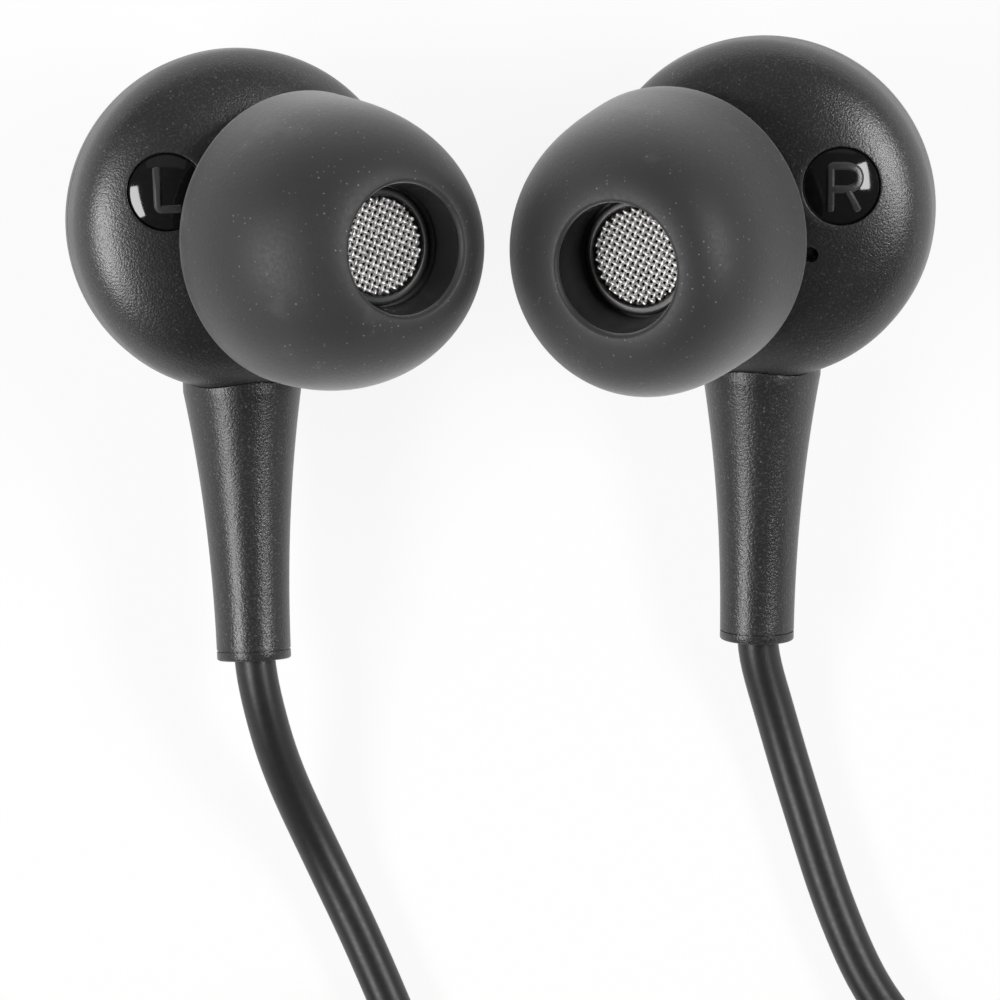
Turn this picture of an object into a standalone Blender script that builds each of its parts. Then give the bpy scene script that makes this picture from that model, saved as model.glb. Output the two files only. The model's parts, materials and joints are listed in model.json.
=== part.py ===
# Wired in-ear earphones lying tips up on a table, with the spare cord wound into tied coils.
# Each earpiece is modelled in its own frame: +Z out of the front dome, +Y away from the stem,
# X across. "Inward" is the side that faces the other earpiece. All lengths are in metres.
import math

import bmesh
import bpy
import numpy as np
from mathutils import Matrix, Vector

# Clearances
FIT = 0.00012
CORD_END_GAP = 0.0003
MERGE_DISTANCE = 0.000002

# Facets of round pieces, and rings along curved profiles
TURN_STEPS = 24
STEM_STEPS = 20
SMALL_STEPS = 16
VENT_STEPS = 10
OUTER_RINGS = 8
INNER_RINGS = 5
STEM_RINGS = 6
TIP_OUTER_RINGS = 7
TIP_INNER_RINGS = 4
CORD_SIDES = 2
COIL_SIDES = 1
EDGE_SEGMENTS = 2

# Housing. An inset is a distance in from the rim, and an angle turns from the inward side
HOUSING_RADIUS = 0.00711
DOME_HEIGHT = 0.0030
DOME_POWER = 2.3
RIM_SKIRT = 0.0008
REAR_DEPTH = 0.0065
REAR_POWER = 1.95
REAR_STEP = -0.00004
SHELL_WALL = 0.0009
LIP_WALL = 0.00035
LIP_HEIGHT = 0.0008
VENT_RADIUS = 0.00032
VENT_INSET = 0.0043
VENT_ANGLE = math.radians(210.3)
SLOPE_STEP = 0.00005

# Side mark, let into the dome
MARK_RADIUS = 0.0016
MARK_EDGE = 0.0001
MARK_THICKNESS = 0.00045
MARK_CROWN = 0.00014
MARK_SUNK = 0.00010
MARK_INSET = 0.0032
MARK_ANGLE = math.radians(158.0)

# Stem
STEM_INWARD = 0.00012
STEM_BACK = 0.00123
STEM_LENGTH = 0.01124
STEM_ROOT_RADIUS = 0.00246
STEM_TAPER_POWER = 2.1
STEM_MOUTH_WALL = 0.0003
STEM_CHAMFER = 0.00008
SPIGOT_WALL = 0.00026
CRIMP_LENGTH = 0.0016
CRIMP_WALL = 0.00022
BUSH_WALL = 0.00015
BUSH_LENGTH = 0.0011
MOUTH_DEPTH = 0.00030
CORD_INSET = 0.00025

# Nozzle and ear tip. Heights are along the nozzle's axis, from the tip's middle
NOZZLE_INSET = 0.00411
NOZZLE_ANGLE = math.radians(-19.0)
TIP_STAND = 0.0013
NOZZLE_LEAN = math.radians(18.5)
NOZZLE_RADIUS = 0.00235
NOZZLE_BEAD = 0.0001
NOZZLE_BEAD_LENGTH = 0.0007
NOZZLE_WALL = 0.00035
NOZZLE_TOP = 0.0039
NOZZLE_INSIDE = 0.00084
MESH_THICKNESS = 0.00014
MESH_SEAT = 0.00008
TIP_RADIUS = 0.00612
TIP_WIDEST = -0.00084
TIP_LIP_HEIGHT = 0.00612
TIP_LIP_BORE = 0.00275
TIP_LIP_WIDTH = 0.00062
TIP_SKIRT = 0.00159
TIP_TUCK = 0.00028
TIP_WALL = 0.00055
TIP_SIDE_POWER = 1.22
TIP_CROWN_POWER = 0.65
TIP_OUTER_TOP = 75
TIP_INNER_TOP = 62
TIP_SLEEVE_WALL = 0.0006
TIP_SLEEVE_END = -0.0008
TIP_FIT = 0.0001

# Driver
DRIVER_TOP = -0.0003
DRIVER_HEIGHT = 0.0021
DRIVER_WALL = 0.0005
DRIVER_FLOOR = 0.0005
YOKE_RADIUS = 0.00345
YOKE_HEIGHT = 0.0022
YOKE_WALL = 0.0005
YOKE_FLOOR = 0.0006
MAGNET_RADIUS = 0.0023
MAGNET_HEIGHT = 0.0010
POLE_HEIGHT = 0.0004
COIL_WALL = 0.00025
COIL_HEIGHT = 0.0014
DIAPHRAGM_THICKNESS = 0.00012
DIAPHRAGM_DOME = 0.00045
DIAPHRAGM_DEPTH = 0.00065
DIAPHRAGM_SHOULDER = 0.0016
DIAPHRAGM_SHOULDER_RISE = 0.00032
BOARD_SIZE = (0.0034, 0.0022, 0.0004)

# How each earpiece lies: side (+1 leans to +X), height on the page, and its tilts in degrees.
# The two tips lie this far apart, about the gap's middle
TIP_GAP = 0.00095
GAP_MIDDLE = 0.000253
EARPIECES = {
    "left": {"side": 1, "up": 0.005348, "inward": 14.2, "down": 3.9, "roll": 2.5},
    "right": {"side": -1, "up": 0.005829, "inward": 8.8, "down": 9.9, "roll": -0.9},
}

# Cords. Routes are hand-chosen points on the table after the stem, as (x, y, z)
EAR_CORD_DIAMETER = 0.0017
EAR_CORD_STRAIGHT = 0.0004
MAIN_CORD_DIAMETER = 0.0020
POINT_SPACING = 2.2
LEAD_SPACING = 1.2
COIL_SPARE_EAR = 0.00075
COIL_SPARE_MAIN = 0.00085
COIL_LIFT = 0.00045
CLIMB_TURNS = 0.5
TIE_THICKNESS = 0.0003
TIE_BREADTH = 0.0026
TIE_SLACK = 0.00025
TIE_ANGLE = math.radians(135)
EAR_COIL_MIDDLE_RADIUS = 0.0085
MAIN_COIL_MIDDLE_RADIUS = 0.0115
EAR_COIL_CENTRES = {"left": (-0.0121, -0.0401), "right": (0.0121, -0.0401)}
EAR_COIL_TURNS = {"left": 2.25, "right": 2.375}
MAIN_COIL_CENTRE = (-0.0060, -0.0879)
MAIN_COIL_TURNS = 4.5
POINTS_PER_TURN = 24
EAR_ROUTES = {
    "left": [(-0.01001, -0.01410, 0.00390), (-0.00954, -0.01608, 0.00330), (-0.00879, -0.01816, 0.00235),
             (-0.00781, -0.02025, 0.00145), (-0.00682, -0.02235, 0.00098), (-0.00575, -0.02460, 0.00094),
             (-0.00355, -0.02980, 0.00096), (-0.00185, -0.03450, 0.00115)],
    "right": [(0.01091, -0.01335, 0.00182), (0.01142, -0.01504, 0.00138), (0.01201, -0.01713, 0.00102),
              (0.01266, -0.01922, 0.00095), (0.01330, -0.02130, 0.00095), (0.01402, -0.02339, 0.00095),
              (0.01570, -0.02700, 0.00095), (0.01880, -0.03060, 0.00096), (0.02190, -0.03440, 0.00115)],
}
EAR_TAILS = {
    "left": [(-0.00105, -0.0458, 0.0031), (-0.00125, -0.0502, 0.0024)],
    "right": [(0.0066, -0.0513, 0.0033), (0.0037, -0.0521, 0.0028), (0.0019, -0.0536, 0.0023)],
}
MAIN_ROUTE = [(-0.00012, -0.0668, 0.0018), (-0.0011, -0.0692, 0.0016)]
MAIN_TAIL = [(-0.0006, -0.10545, 0.0038), (0.0034, -0.1046, 0.0036), (0.0082, -0.1022, 0.0033),
             (0.0123, -0.0989, 0.0030), (0.0148, -0.0950, 0.0028)]

# Y splitter
SPLITTER_TOP = -0.0560
SPLITTER_LENGTH = 0.0082
SPLITTER_WIDTH = 0.0062
SPLITTER_OUTLET_WIDTH = 0.0038
SPLITTER_HEIGHT = 0.0040
SPLITTER_INLET_SPACING = 0.0026
SPLITTER_ROUND = 0.00067

# Plug
PLUG_FOOT = (0.0155, -0.0908)
RELIEF_LENGTH = 0.0080
RELIEF_RADIUS = 0.0019
GRIP_LENGTH = 0.0130
GRIP_RADIUS = 0.00275
GRIP_EDGE = 0.0004
PIN_RADIUS = 0.00175
SLEEVE_LENGTH = 0.0063
RING_LENGTH = 0.0022
INSULATOR_LENGTH = 0.0007
PIN_SEAT = 0.0010
POINT_LENGTH = 0.0040
POINT_COLLAR = 0.0005
POINT_NECK = 0.0011
POINT_NECK_RADIUS = 0.00126
POINT_BULGE = 0.0021
POINT_BULGE_RADIUS = 0.00166
POINT_END_RADIUS = 0.0006
CONTACT_GAP = 0.00006


def clear_scene():
    for obj in list(bpy.data.objects):
        bpy.data.objects.remove(obj)


def make_material(name, colour, roughness, metallic=0.0):
    material = bpy.data.materials.new(name)
    material.use_nodes = True
    shader = material.node_tree.nodes["Principled BSDF"]
    shader.inputs["Base Color"].default_value = (*colour, 1.0)
    shader.inputs["Roughness"].default_value = roughness
    shader.inputs["Metallic"].default_value = metallic
    return material


def add_object(name, data, material=None, parent=None, place=None):
    obj = bpy.data.objects.new(name, data)
    bpy.context.scene.collection.objects.link(obj)
    obj.parent = parent
    obj.matrix_basis = place or Matrix()
    if material:
        data.materials.append(material)
    return obj


def make_cutter(obj):
    obj.hide_render = True
    obj.display_type = "WIRE"
    return obj


def add_boolean(obj, cutter, operation="DIFFERENCE"):
    modifier = obj.modifiers.new(cutter.name, "BOOLEAN")
    modifier.operation = operation
    modifier.solver = "EXACT"
    modifier.object = cutter


def turned(name, profile, steps, material=None, parent=None, place=None, loop=False):
    """A turned body from (radius, height) points that run down the outer side; loop closes the section."""
    mesh = bpy.data.meshes.new(name)
    edges = [(i, i + 1) for i in range(len(profile) - 1)]
    if loop:
        edges.append((len(profile) - 1, 0))
    mesh.from_pydata([(radius, 0.0, height) for radius, height in profile], edges, [])
    obj = add_object(name, mesh, material, parent, place)
    screw = obj.modifiers.new("turn", "SCREW")
    screw.steps = steps
    screw.render_steps = steps
    screw.use_merge_vertices = True
    screw.merge_threshold = MERGE_DISTANCE
    return obj


def rod(name, radius, top, bottom, steps, material=None, parent=None, place=None):
    profile = [(0.0, top), (radius, top), (radius, bottom), (0.0, bottom)]
    return turned(name, profile, steps, material, parent, place)


def ring(name, inner, outer, top, bottom, steps, material=None, parent=None, place=None):
    section = [(inner, top), (outer, top), (outer, bottom), (inner, bottom)]
    return turned(name, section, steps, material, parent, place, loop=True)


def axis_frame(origin, direction):
    """A frame at origin whose +Z runs along direction."""
    turn = Vector(direction).normalized().to_track_quat("Z", "Y").to_matrix().to_4x4()
    return Matrix.Translation(origin) @ turn


def oval_arc(radius, height, power, count):
    """Points of a quarter superellipse, from the axis at the top to the rim at height 0."""
    points = []
    for i in range(count + 1):
        angle = math.pi / 2 * (1 - i / count)
        across = radius * max(math.cos(angle), 0.0) ** (2 / power) if i else 0.0
        up = height * max(math.sin(angle), 0.0) ** (2 / power) if i < count else 0.0
        points.append((across, up))
    return points


def dome_height_at(radius):
    """Height of the front dome's outer surface at this distance from its axis."""
    return DOME_HEIGHT * (1 - (radius / HOUSING_RADIUS) ** DOME_POWER) ** (1 / DOME_POWER)


def dome_frame(side, inset, angle):
    """A frame on the dome's surface, this far in from the rim, with +Z along the surface's normal."""
    reach = HOUSING_RADIUS - inset
    slope = (dome_height_at(reach + SLOPE_STEP) - dome_height_at(reach - SLOPE_STEP)) / (2 * SLOPE_STEP)
    outward = Vector((side * math.cos(angle), math.sin(angle), 0.0))
    up = Vector((0.0, 0.0, 1.0))
    return axis_frame(outward * reach + up * dome_height_at(reach), up - slope * outward)


def nozzle_frame(side):
    """A frame at the tip's middle, with +Z along the nozzle, out of the ear."""
    reach = HOUSING_RADIUS - NOZZLE_INSET
    across, up = reach * math.cos(NOZZLE_ANGLE), reach * math.sin(NOZZLE_ANGLE)
    middle = (side * across, up, dome_height_at(reach) + TIP_STAND)
    return axis_frame(middle, (side * math.sin(NOZZLE_LEAN), 0.0, math.cos(NOZZLE_LEAN)))


def nozzle_foot():
    """How far the nozzle reaches below the tip's middle, through the dome's wall."""
    return TIP_STAND / math.cos(NOZZLE_LEAN) + SHELL_WALL + NOZZLE_INSIDE


def stem_frame(side):
    """A frame on the stem's axis, level with the housing's axis, with +Z up the stem."""
    return axis_frame((side * STEM_INWARD, 0.0, -STEM_BACK), (0.0, 1.0, 0.0))


def front_shell_profile():
    outer = oval_arc(HOUSING_RADIUS, DOME_HEIGHT, DOME_POWER, OUTER_RINGS)
    inner = oval_arc(HOUSING_RADIUS - SHELL_WALL, DOME_HEIGHT - SHELL_WALL, DOME_POWER, INNER_RINGS)
    foot = [(HOUSING_RADIUS, -RIM_SKIRT), (HOUSING_RADIUS - SHELL_WALL, -RIM_SKIRT)]
    return outer + foot + inner[::-1]


def lip_radii():
    """Outer and inner radius of the rear shell's lip, which fits inside the front shell."""
    outer = HOUSING_RADIUS - SHELL_WALL - FIT
    return outer, outer - LIP_WALL


def seam_height():
    """Height of the rear shell's rim, a fit clearance below the front shell's skirt."""
    return -RIM_SKIRT - FIT


def rear_shell_profile():
    lip_outer, lip_inner = lip_radii()
    seam = seam_height()
    depth = REAR_DEPTH + seam
    outer = oval_arc(HOUSING_RADIUS + REAR_STEP, depth, REAR_POWER, OUTER_RINGS)
    inner = oval_arc(lip_inner, depth - SHELL_WALL, REAR_POWER, INNER_RINGS)
    cup = [(radius, seam - height) for radius, height in inner]
    lip = [(lip_inner, seam + LIP_HEIGHT), (lip_outer, seam + LIP_HEIGHT), (lip_outer, seam)]
    return cup + lip + [(radius, seam - height) for radius, height in outer[::-1]]


def driver_radius():
    """The driver fills the rear cup's bore at the driver's floor, with a fit clearance on each side."""
    deep = (seam_height() - DRIVER_TOP + DRIVER_HEIGHT) / (REAR_DEPTH + seam_height() - SHELL_WALL)
    bore = lip_radii()[1] * (1 - deep ** REAR_POWER) ** (1 / REAR_POWER)
    return bore * math.cos(math.pi / TURN_STEPS) - FIT


def envelope_profile():
    """The housing's outer shape, grown by the fit clearance."""
    front = oval_arc(HOUSING_RADIUS + FIT, DOME_HEIGHT + FIT, DOME_POWER, OUTER_RINGS)
    rear = oval_arc(HOUSING_RADIUS + REAR_STEP + FIT, REAR_DEPTH - RIM_SKIRT, REAR_POWER, OUTER_RINGS)
    return front + [(radius, seam_height() - height) for radius, height in rear[::-1]]


def stem_bores():
    """Radii of the stem's bore: around the crimp, along the cord, and around the bush."""
    cord = EAR_CORD_DIAMETER / 2 + FIT
    return cord + CRIMP_WALL + FIT, cord, cord + BUSH_WALL + FIT


def stem_end():
    """Where the stem ends, measured down from the housing's axis."""
    return HOUSING_RADIUS + STEM_LENGTH


def spigot_radius():
    return stem_bores()[0] + SPIGOT_WALL


def spigot_start():
    """Where the stem's spigot ends inside the housing, clear of the driver."""
    return lip_radii()[1] + FIT


def stem_profile():
    crimp_bore, cord_bore, bush_bore = stem_bores()
    start = spigot_start()
    end = stem_end()
    end_radius = bush_bore + STEM_MOUTH_WALL
    outer = [(STEM_ROOT_RADIUS, -start)]
    for i in range(STEM_RINGS + 1):
        share = i / STEM_RINGS
        radius = end_radius + (STEM_ROOT_RADIUS - end_radius) * (1 - share) ** STEM_TAPER_POWER
        outer.append((radius, -HOUSING_RADIUS - (STEM_LENGTH - STEM_CHAMFER) * share))
    mouth = [(end_radius - STEM_CHAMFER, -end), (bush_bore, -end)]
    shoulder = -end + MOUTH_DEPTH + BUSH_LENGTH + FIT
    crimp_end = -start - CRIMP_LENGTH - 2 * FIT
    bore = [(bush_bore, shoulder), (cord_bore, shoulder), (cord_bore, crimp_end), (crimp_bore, crimp_end),
            (crimp_bore, -start)]
    return outer + mouth + bore


def nozzle_profile():
    bead = NOZZLE_RADIUS + NOZZLE_BEAD
    bore = NOZZLE_RADIUS - NOZZLE_WALL
    foot = nozzle_foot()
    seat = bore + MESH_SEAT
    ledge = NOZZLE_TOP - 2 * MESH_THICKNESS - FIT
    bead_end = NOZZLE_TOP - NOZZLE_BEAD_LENGTH
    return [(seat, NOZZLE_TOP), (NOZZLE_RADIUS, NOZZLE_TOP), (bead, NOZZLE_TOP - NOZZLE_BEAD),
            (bead, bead_end), (NOZZLE_RADIUS, bead_end - NOZZLE_BEAD),
            (NOZZLE_RADIUS, -foot), (bore - MESH_SEAT, -foot), (bore - MESH_SEAT, ledge), (seat, ledge)]


def tip_arc(shrink, drop, first, last, count):
    """Part of the tip's dome, in degrees above its widest point, drawn in by shrink and lowered by drop."""
    root = TIP_LIP_BORE + TIP_LIP_WIDTH
    points = []
    for i in range(count + 1):
        angle = math.radians(first + (last - first) * i / count)
        radius = root + (TIP_RADIUS - root) * math.cos(angle) ** TIP_SIDE_POWER - shrink
        rise = (TIP_LIP_HEIGHT - TIP_WIDEST - drop) * math.sin(angle) ** TIP_CROWN_POWER
        points.append((radius, TIP_WIDEST + rise))
    return points


def tip_profile():
    sleeve_bore = NOZZLE_RADIUS + NOZZLE_BEAD + TIP_FIT
    sleeve = sleeve_bore + TIP_SLEEVE_WALL
    lip_middle = TIP_LIP_BORE + TIP_LIP_WIDTH / 2
    lip = [(TIP_LIP_BORE, TIP_LIP_HEIGHT - TIP_LIP_WIDTH / 2), (lip_middle, TIP_LIP_HEIGHT),
           (TIP_LIP_BORE + TIP_LIP_WIDTH, TIP_LIP_HEIGHT - TIP_LIP_WIDTH / 3)]
    outer = tip_arc(0.0, TIP_LIP_WIDTH / 3, TIP_OUTER_TOP, 0, TIP_OUTER_RINGS)
    edge = TIP_RADIUS - TIP_TUCK
    rim = [(edge, -TIP_SKIRT), (edge - TIP_WALL, -TIP_SKIRT)]
    inner = tip_arc(TIP_WALL, 2 * TIP_WALL, 0, TIP_INNER_TOP, TIP_INNER_RINGS)
    roof = inner[-1][1]
    bore = [(sleeve, roof - TIP_WALL / 2), (sleeve, TIP_SLEEVE_END), (sleeve_bore, TIP_SLEEVE_END),
            (sleeve_bore, NOZZLE_TOP + TIP_WALL)]
    return lip + outer + rim + inner + bore


def mark_profile():
    top = -MARK_SUNK
    return [(0.0, top), (MARK_RADIUS / 2, top - MARK_CROWN / 4), (MARK_RADIUS - MARK_EDGE, top - MARK_CROWN),
            (MARK_RADIUS, top - MARK_CROWN - MARK_EDGE), (MARK_RADIUS, top - MARK_THICKNESS),
            (0.0, top - MARK_THICKNESS)]


def build_shells(name, side, parent, materials):
    front = turned(name + "_front_shell", front_shell_profile(), TURN_STEPS, materials["shell"], parent)
    rear = turned(name + "_rear_shell", rear_shell_profile(), TURN_STEPS, materials["shell"], parent)
    mark_place = dome_frame(side, MARK_INSET, MARK_ANGLE)
    port = make_cutter(rod(name + "_port_cutter", spigot_radius() + FIT, -HOUSING_RADIUS / 2,
                           -1.5 * HOUSING_RADIUS, STEM_STEPS, None, parent, stem_frame(side)))
    hole = make_cutter(rod(name + "_nozzle_cutter", NOZZLE_RADIUS + FIT, NOZZLE_TOP, -nozzle_foot() - FIT,
                           TURN_STEPS, None, parent, nozzle_frame(side)))
    pocket = make_cutter(rod(name + "_mark_cutter", MARK_RADIUS + FIT, SHELL_WALL,
                             -MARK_SUNK - MARK_THICKNESS - FIT, STEM_STEPS, None, parent, mark_place))
    vent = make_cutter(rod(name + "_vent_cutter", VENT_RADIUS, SHELL_WALL, -2 * SHELL_WALL, VENT_STEPS, None,
                           parent, dome_frame(side, VENT_INSET, VENT_ANGLE)))
    for cutter in (hole, pocket, vent, port):
        add_boolean(front, cutter)
    add_boolean(rear, port)
    turned(name + "_side_mark", mark_profile(), STEM_STEPS, materials["mark"], parent, mark_place)


def build_stem(name, side, parent, materials):
    place = stem_frame(side)
    stem = turned(name + "_stem", stem_profile(), STEM_STEPS, materials["stem"], parent, place, loop=True)
    envelope = make_cutter(turned(name + "_envelope_cutter", envelope_profile(), TURN_STEPS, None, parent))
    spigot = make_cutter(rod(name + "_spigot_cutter", spigot_radius(), 0.0, -2 * HOUSING_RADIUS, TURN_STEPS,
                             None, parent, place))
    add_boolean(envelope, spigot)
    add_boolean(stem, envelope)
    cord = EAR_CORD_DIAMETER / 2 + FIT
    crimp_top = -spigot_start() - FIT
    ring(name + "_cable_crimp", cord, cord + CRIMP_WALL, crimp_top, crimp_top - CRIMP_LENGTH, SMALL_STEPS,
         materials["brass"], parent, place)
    mouth = -stem_end() + MOUTH_DEPTH
    ring(name + "_cable_bush", cord, cord + BUSH_WALL, mouth + BUSH_LENGTH, mouth, SMALL_STEPS,
         materials["rubber"], parent, place)


def build_nozzle(name, side, parent, materials):
    place = nozzle_frame(side)
    turned(name + "_nozzle", nozzle_profile(), TURN_STEPS, materials["nozzle"], parent, place, loop=True)
    mesh_radius = NOZZLE_RADIUS - NOZZLE_WALL + MESH_SEAT - FIT / 2
    mesh_top = NOZZLE_TOP - MESH_THICKNESS
    rod(name + "_nozzle_mesh", mesh_radius, mesh_top, mesh_top - MESH_THICKNESS, TURN_STEPS,
        materials["steel"], parent, place)
    turned(name + "_ear_tip", tip_profile(), TURN_STEPS, materials["silicone"], parent, place, loop=True)


def build_driver(name, parent, materials):
    radius = driver_radius()
    floor = DRIVER_TOP - DRIVER_HEIGHT
    bore = YOKE_RADIUS + FIT
    frame = [(radius - DRIVER_WALL, DRIVER_TOP), (radius, DRIVER_TOP), (radius, floor), (bore, floor),
             (bore, floor + DRIVER_FLOOR), (radius - DRIVER_WALL, floor + DRIVER_FLOOR)]
    turned(name + "_driver_frame", frame, STEM_STEPS, materials["frame"], parent, loop=True)
    yoke_top = floor + DRIVER_FLOOR + FIT
    yoke_floor = yoke_top - YOKE_HEIGHT
    inside = YOKE_RADIUS - YOKE_WALL
    yoke = [(0.0, yoke_floor + YOKE_FLOOR), (inside, yoke_floor + YOKE_FLOOR), (inside, yoke_top),
            (YOKE_RADIUS, yoke_top), (YOKE_RADIUS, yoke_floor), (0.0, yoke_floor)]
    turned(name + "_yoke", yoke, SMALL_STEPS, materials["steel"], parent)
    magnet_foot = yoke_floor + YOKE_FLOOR + FIT
    magnet_top = magnet_foot + MAGNET_HEIGHT
    rod(name + "_magnet", MAGNET_RADIUS, magnet_top, magnet_foot, SMALL_STEPS, materials["magnet"], parent)
    pole_foot = magnet_top + FIT
    rod(name + "_pole_plate", MAGNET_RADIUS, pole_foot + POLE_HEIGHT, pole_foot, SMALL_STEPS,
        materials["steel"], parent)
    sheet = DRIVER_TOP - DIAPHRAGM_DEPTH
    coil_middle = (MAGNET_RADIUS + inside) / 2
    coil_top = sheet - DIAPHRAGM_THICKNESS - FIT
    ring(name + "_voice_coil", coil_middle - COIL_WALL / 2, coil_middle + COIL_WALL / 2, coil_top,
         coil_top - COIL_HEIGHT, SMALL_STEPS, materials["copper"], parent)
    edge = radius - DRIVER_WALL - FIT
    roll = (coil_middle + edge) / 2
    top = [(0.0, sheet + DIAPHRAGM_DOME), (DIAPHRAGM_SHOULDER, sheet + DIAPHRAGM_SHOULDER_RISE),
           (coil_middle, sheet), (roll, sheet + DIAPHRAGM_DOME / 2), (edge, sheet)]
    diaphragm = top + [(across, height - DIAPHRAGM_THICKNESS) for across, height in top[::-1]]
    turned(name + "_diaphragm", diaphragm, SMALL_STEPS, materials["film"], parent)
    board = bpy.data.meshes.new(name + "_terminal_board")
    shape = bmesh.new()
    bmesh.ops.create_cube(shape, size=1.0, matrix=Matrix.Diagonal((*BOARD_SIZE, 1.0)))
    shape.to_mesh(board)
    shape.free()
    board_middle = yoke_floor - FIT - BOARD_SIZE[2] / 2
    add_object(name + "_terminal_board", board, materials["board"], parent,
               Matrix.Translation((0.0, 0.0, board_middle)))


def lowest_point(names):
    bpy.context.view_layer.update()
    graph = bpy.context.evaluated_depsgraph_get()
    low = math.inf
    for name in names:
        evaluated = bpy.data.objects[name].evaluated_get(graph)
        low = min(low, min((evaluated.matrix_world @ corner.co).z for corner in evaluated.to_mesh().vertices))
        evaluated.to_mesh_clear()
    return low


def earpiece_turn(lie):
    roll = Matrix.Rotation(math.radians(lie["roll"]), 4, "Z")
    down = Matrix.Rotation(math.radians(lie["down"]), 4, "X")
    inward = Matrix.Rotation(lie["side"] * math.radians(lie["inward"]), 4, "Y")
    return roll @ down @ inward


def tip_reach(side, turn):
    """How far a tilted earpiece's tip reaches towards the other earpiece, from the housing's axis."""
    tip = turn @ nozzle_frame(side)
    slant = side * tip.to_3x3().col[2].x
    breadth = math.sqrt(1 - slant ** 2)
    reach = max(height * slant + radius * breadth for radius, height in tip_profile())
    return side * tip.translation.x + reach


def build_earpiece(name, lie, materials):
    """One earpiece, tilted as it lies and set down so that its lowest point is on the table."""
    side = lie["side"]
    parent = add_object(name + "_earpiece", None)
    turn = earpiece_turn(lie)
    across = GAP_MIDDLE - side * (TIP_GAP / 2 + tip_reach(side, turn))
    parent.matrix_basis = Matrix.Translation((across, lie["up"], 0.0)) @ turn
    build_shells(name, side, parent, materials)
    build_stem(name, side, parent, materials)
    build_nozzle(name, side, parent, materials)
    build_driver(name, parent, materials)
    parent.location.z = -lowest_point([name + "_rear_shell", name + "_stem"])
    bpy.context.view_layer.update()
    pivot = parent.matrix_world @ nozzle_frame(side)
    print(name, "tip joint at", tuple(round(value, 6) for value in pivot.translation),
          "axis", tuple(round(value, 6) for value in pivot.to_3x3().col[2]))
    stem = parent.matrix_world @ stem_frame(side)
    mouth = stem @ Vector((0.0, 0.0, -stem_end()))
    print(name, "stem mouth at", tuple(round(value, 6) for value in mouth), "down",
          tuple(round(-value, 6) for value in stem.to_3x3().col[2]))
    return stem


def smooth_route(points, spacing):
    """Points about spacing apart on the Catmull-Rom curve through these."""
    knots = [Vector(point) for point in points]
    knots = [2 * knots[0] - knots[1], *knots, 2 * knots[-1] - knots[-2]]
    route = []
    for before, start, end, after in zip(knots, knots[1:], knots[2:], knots[3:]):
        steps = max(1, round((end - start).length / spacing))
        for i in range(steps):
            t = i / steps
            pull = (end - before) * t + (2 * before - 5 * start + 4 * end - after) * t ** 2
            route.append(start + 0.5 * (pull + (3 * start - before - 3 * end + after) * t ** 3))
    return [*route, knots[-2]]


def tube(name, points, diameter, resolution, material):
    curve = bpy.data.curves.new(name, "CURVE")
    curve.dimensions = "3D"
    curve.bevel_depth = diameter / 2
    curve.bevel_resolution = resolution
    curve.use_fill_caps = True
    line = curve.splines.new("POLY")
    line.points.add(len(points) - 1)
    for knot, point in zip(line.points, points):
        knot.co = (*point, 1.0)
    return add_object(name, curve, material)


def coil_points(centre, first_angle, way, turns, middle_radius, pitch, base, diameter):
    """Two layers of loops: in along the lower, up a layer in half a turn, and out along the upper.

    way is -1 for clockwise, seen from above. A straight length of one diameter leads in and out.
    """
    inner = middle_radius - pitch * turns / 2
    points = []
    total = 2 * turns + CLIMB_TURNS
    count = round(total * POINTS_PER_TURN)
    for i in range(count + 1):
        turn = total * i / count
        climb = min(max((turn - turns) / CLIMB_TURNS, 0.0), 1.0)
        radius = inner + pitch * max(turns - turn, turn - turns - CLIMB_TURNS, 0.0)
        angle = first_angle + way * 2 * math.pi * turn
        height = base + diameter / 2 + pitch * climb * climb * (3 - 2 * climb)
        across, up = radius * math.cos(angle), radius * math.sin(angle)
        points.append(Vector((centre[0] + across, centre[1] + up, height)))
    last_angle = first_angle + way * 2 * math.pi * total
    lead_in = Vector((-math.sin(first_angle), math.cos(first_angle), 0.0)) * way * diameter
    lead_out = Vector((-math.sin(last_angle), math.cos(last_angle), 0.0)) * way * diameter
    return [points[0] - lead_in, *points, points[-1] + lead_out]


def print_least_gap(name, points, diameter):
    """The least clear space between different turns of one coil."""
    spots = np.array([tuple(point) for point in points])
    apart = np.linalg.norm(spots[:, None] - spots[None], axis=2)
    order = np.arange(len(spots))
    apart[np.abs(order[:, None] - order[None]) < POINTS_PER_TURN // 3] = np.inf
    print(name, "least gap to itself, mm:", round(1000 * (apart.min() - diameter), 3))


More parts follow.
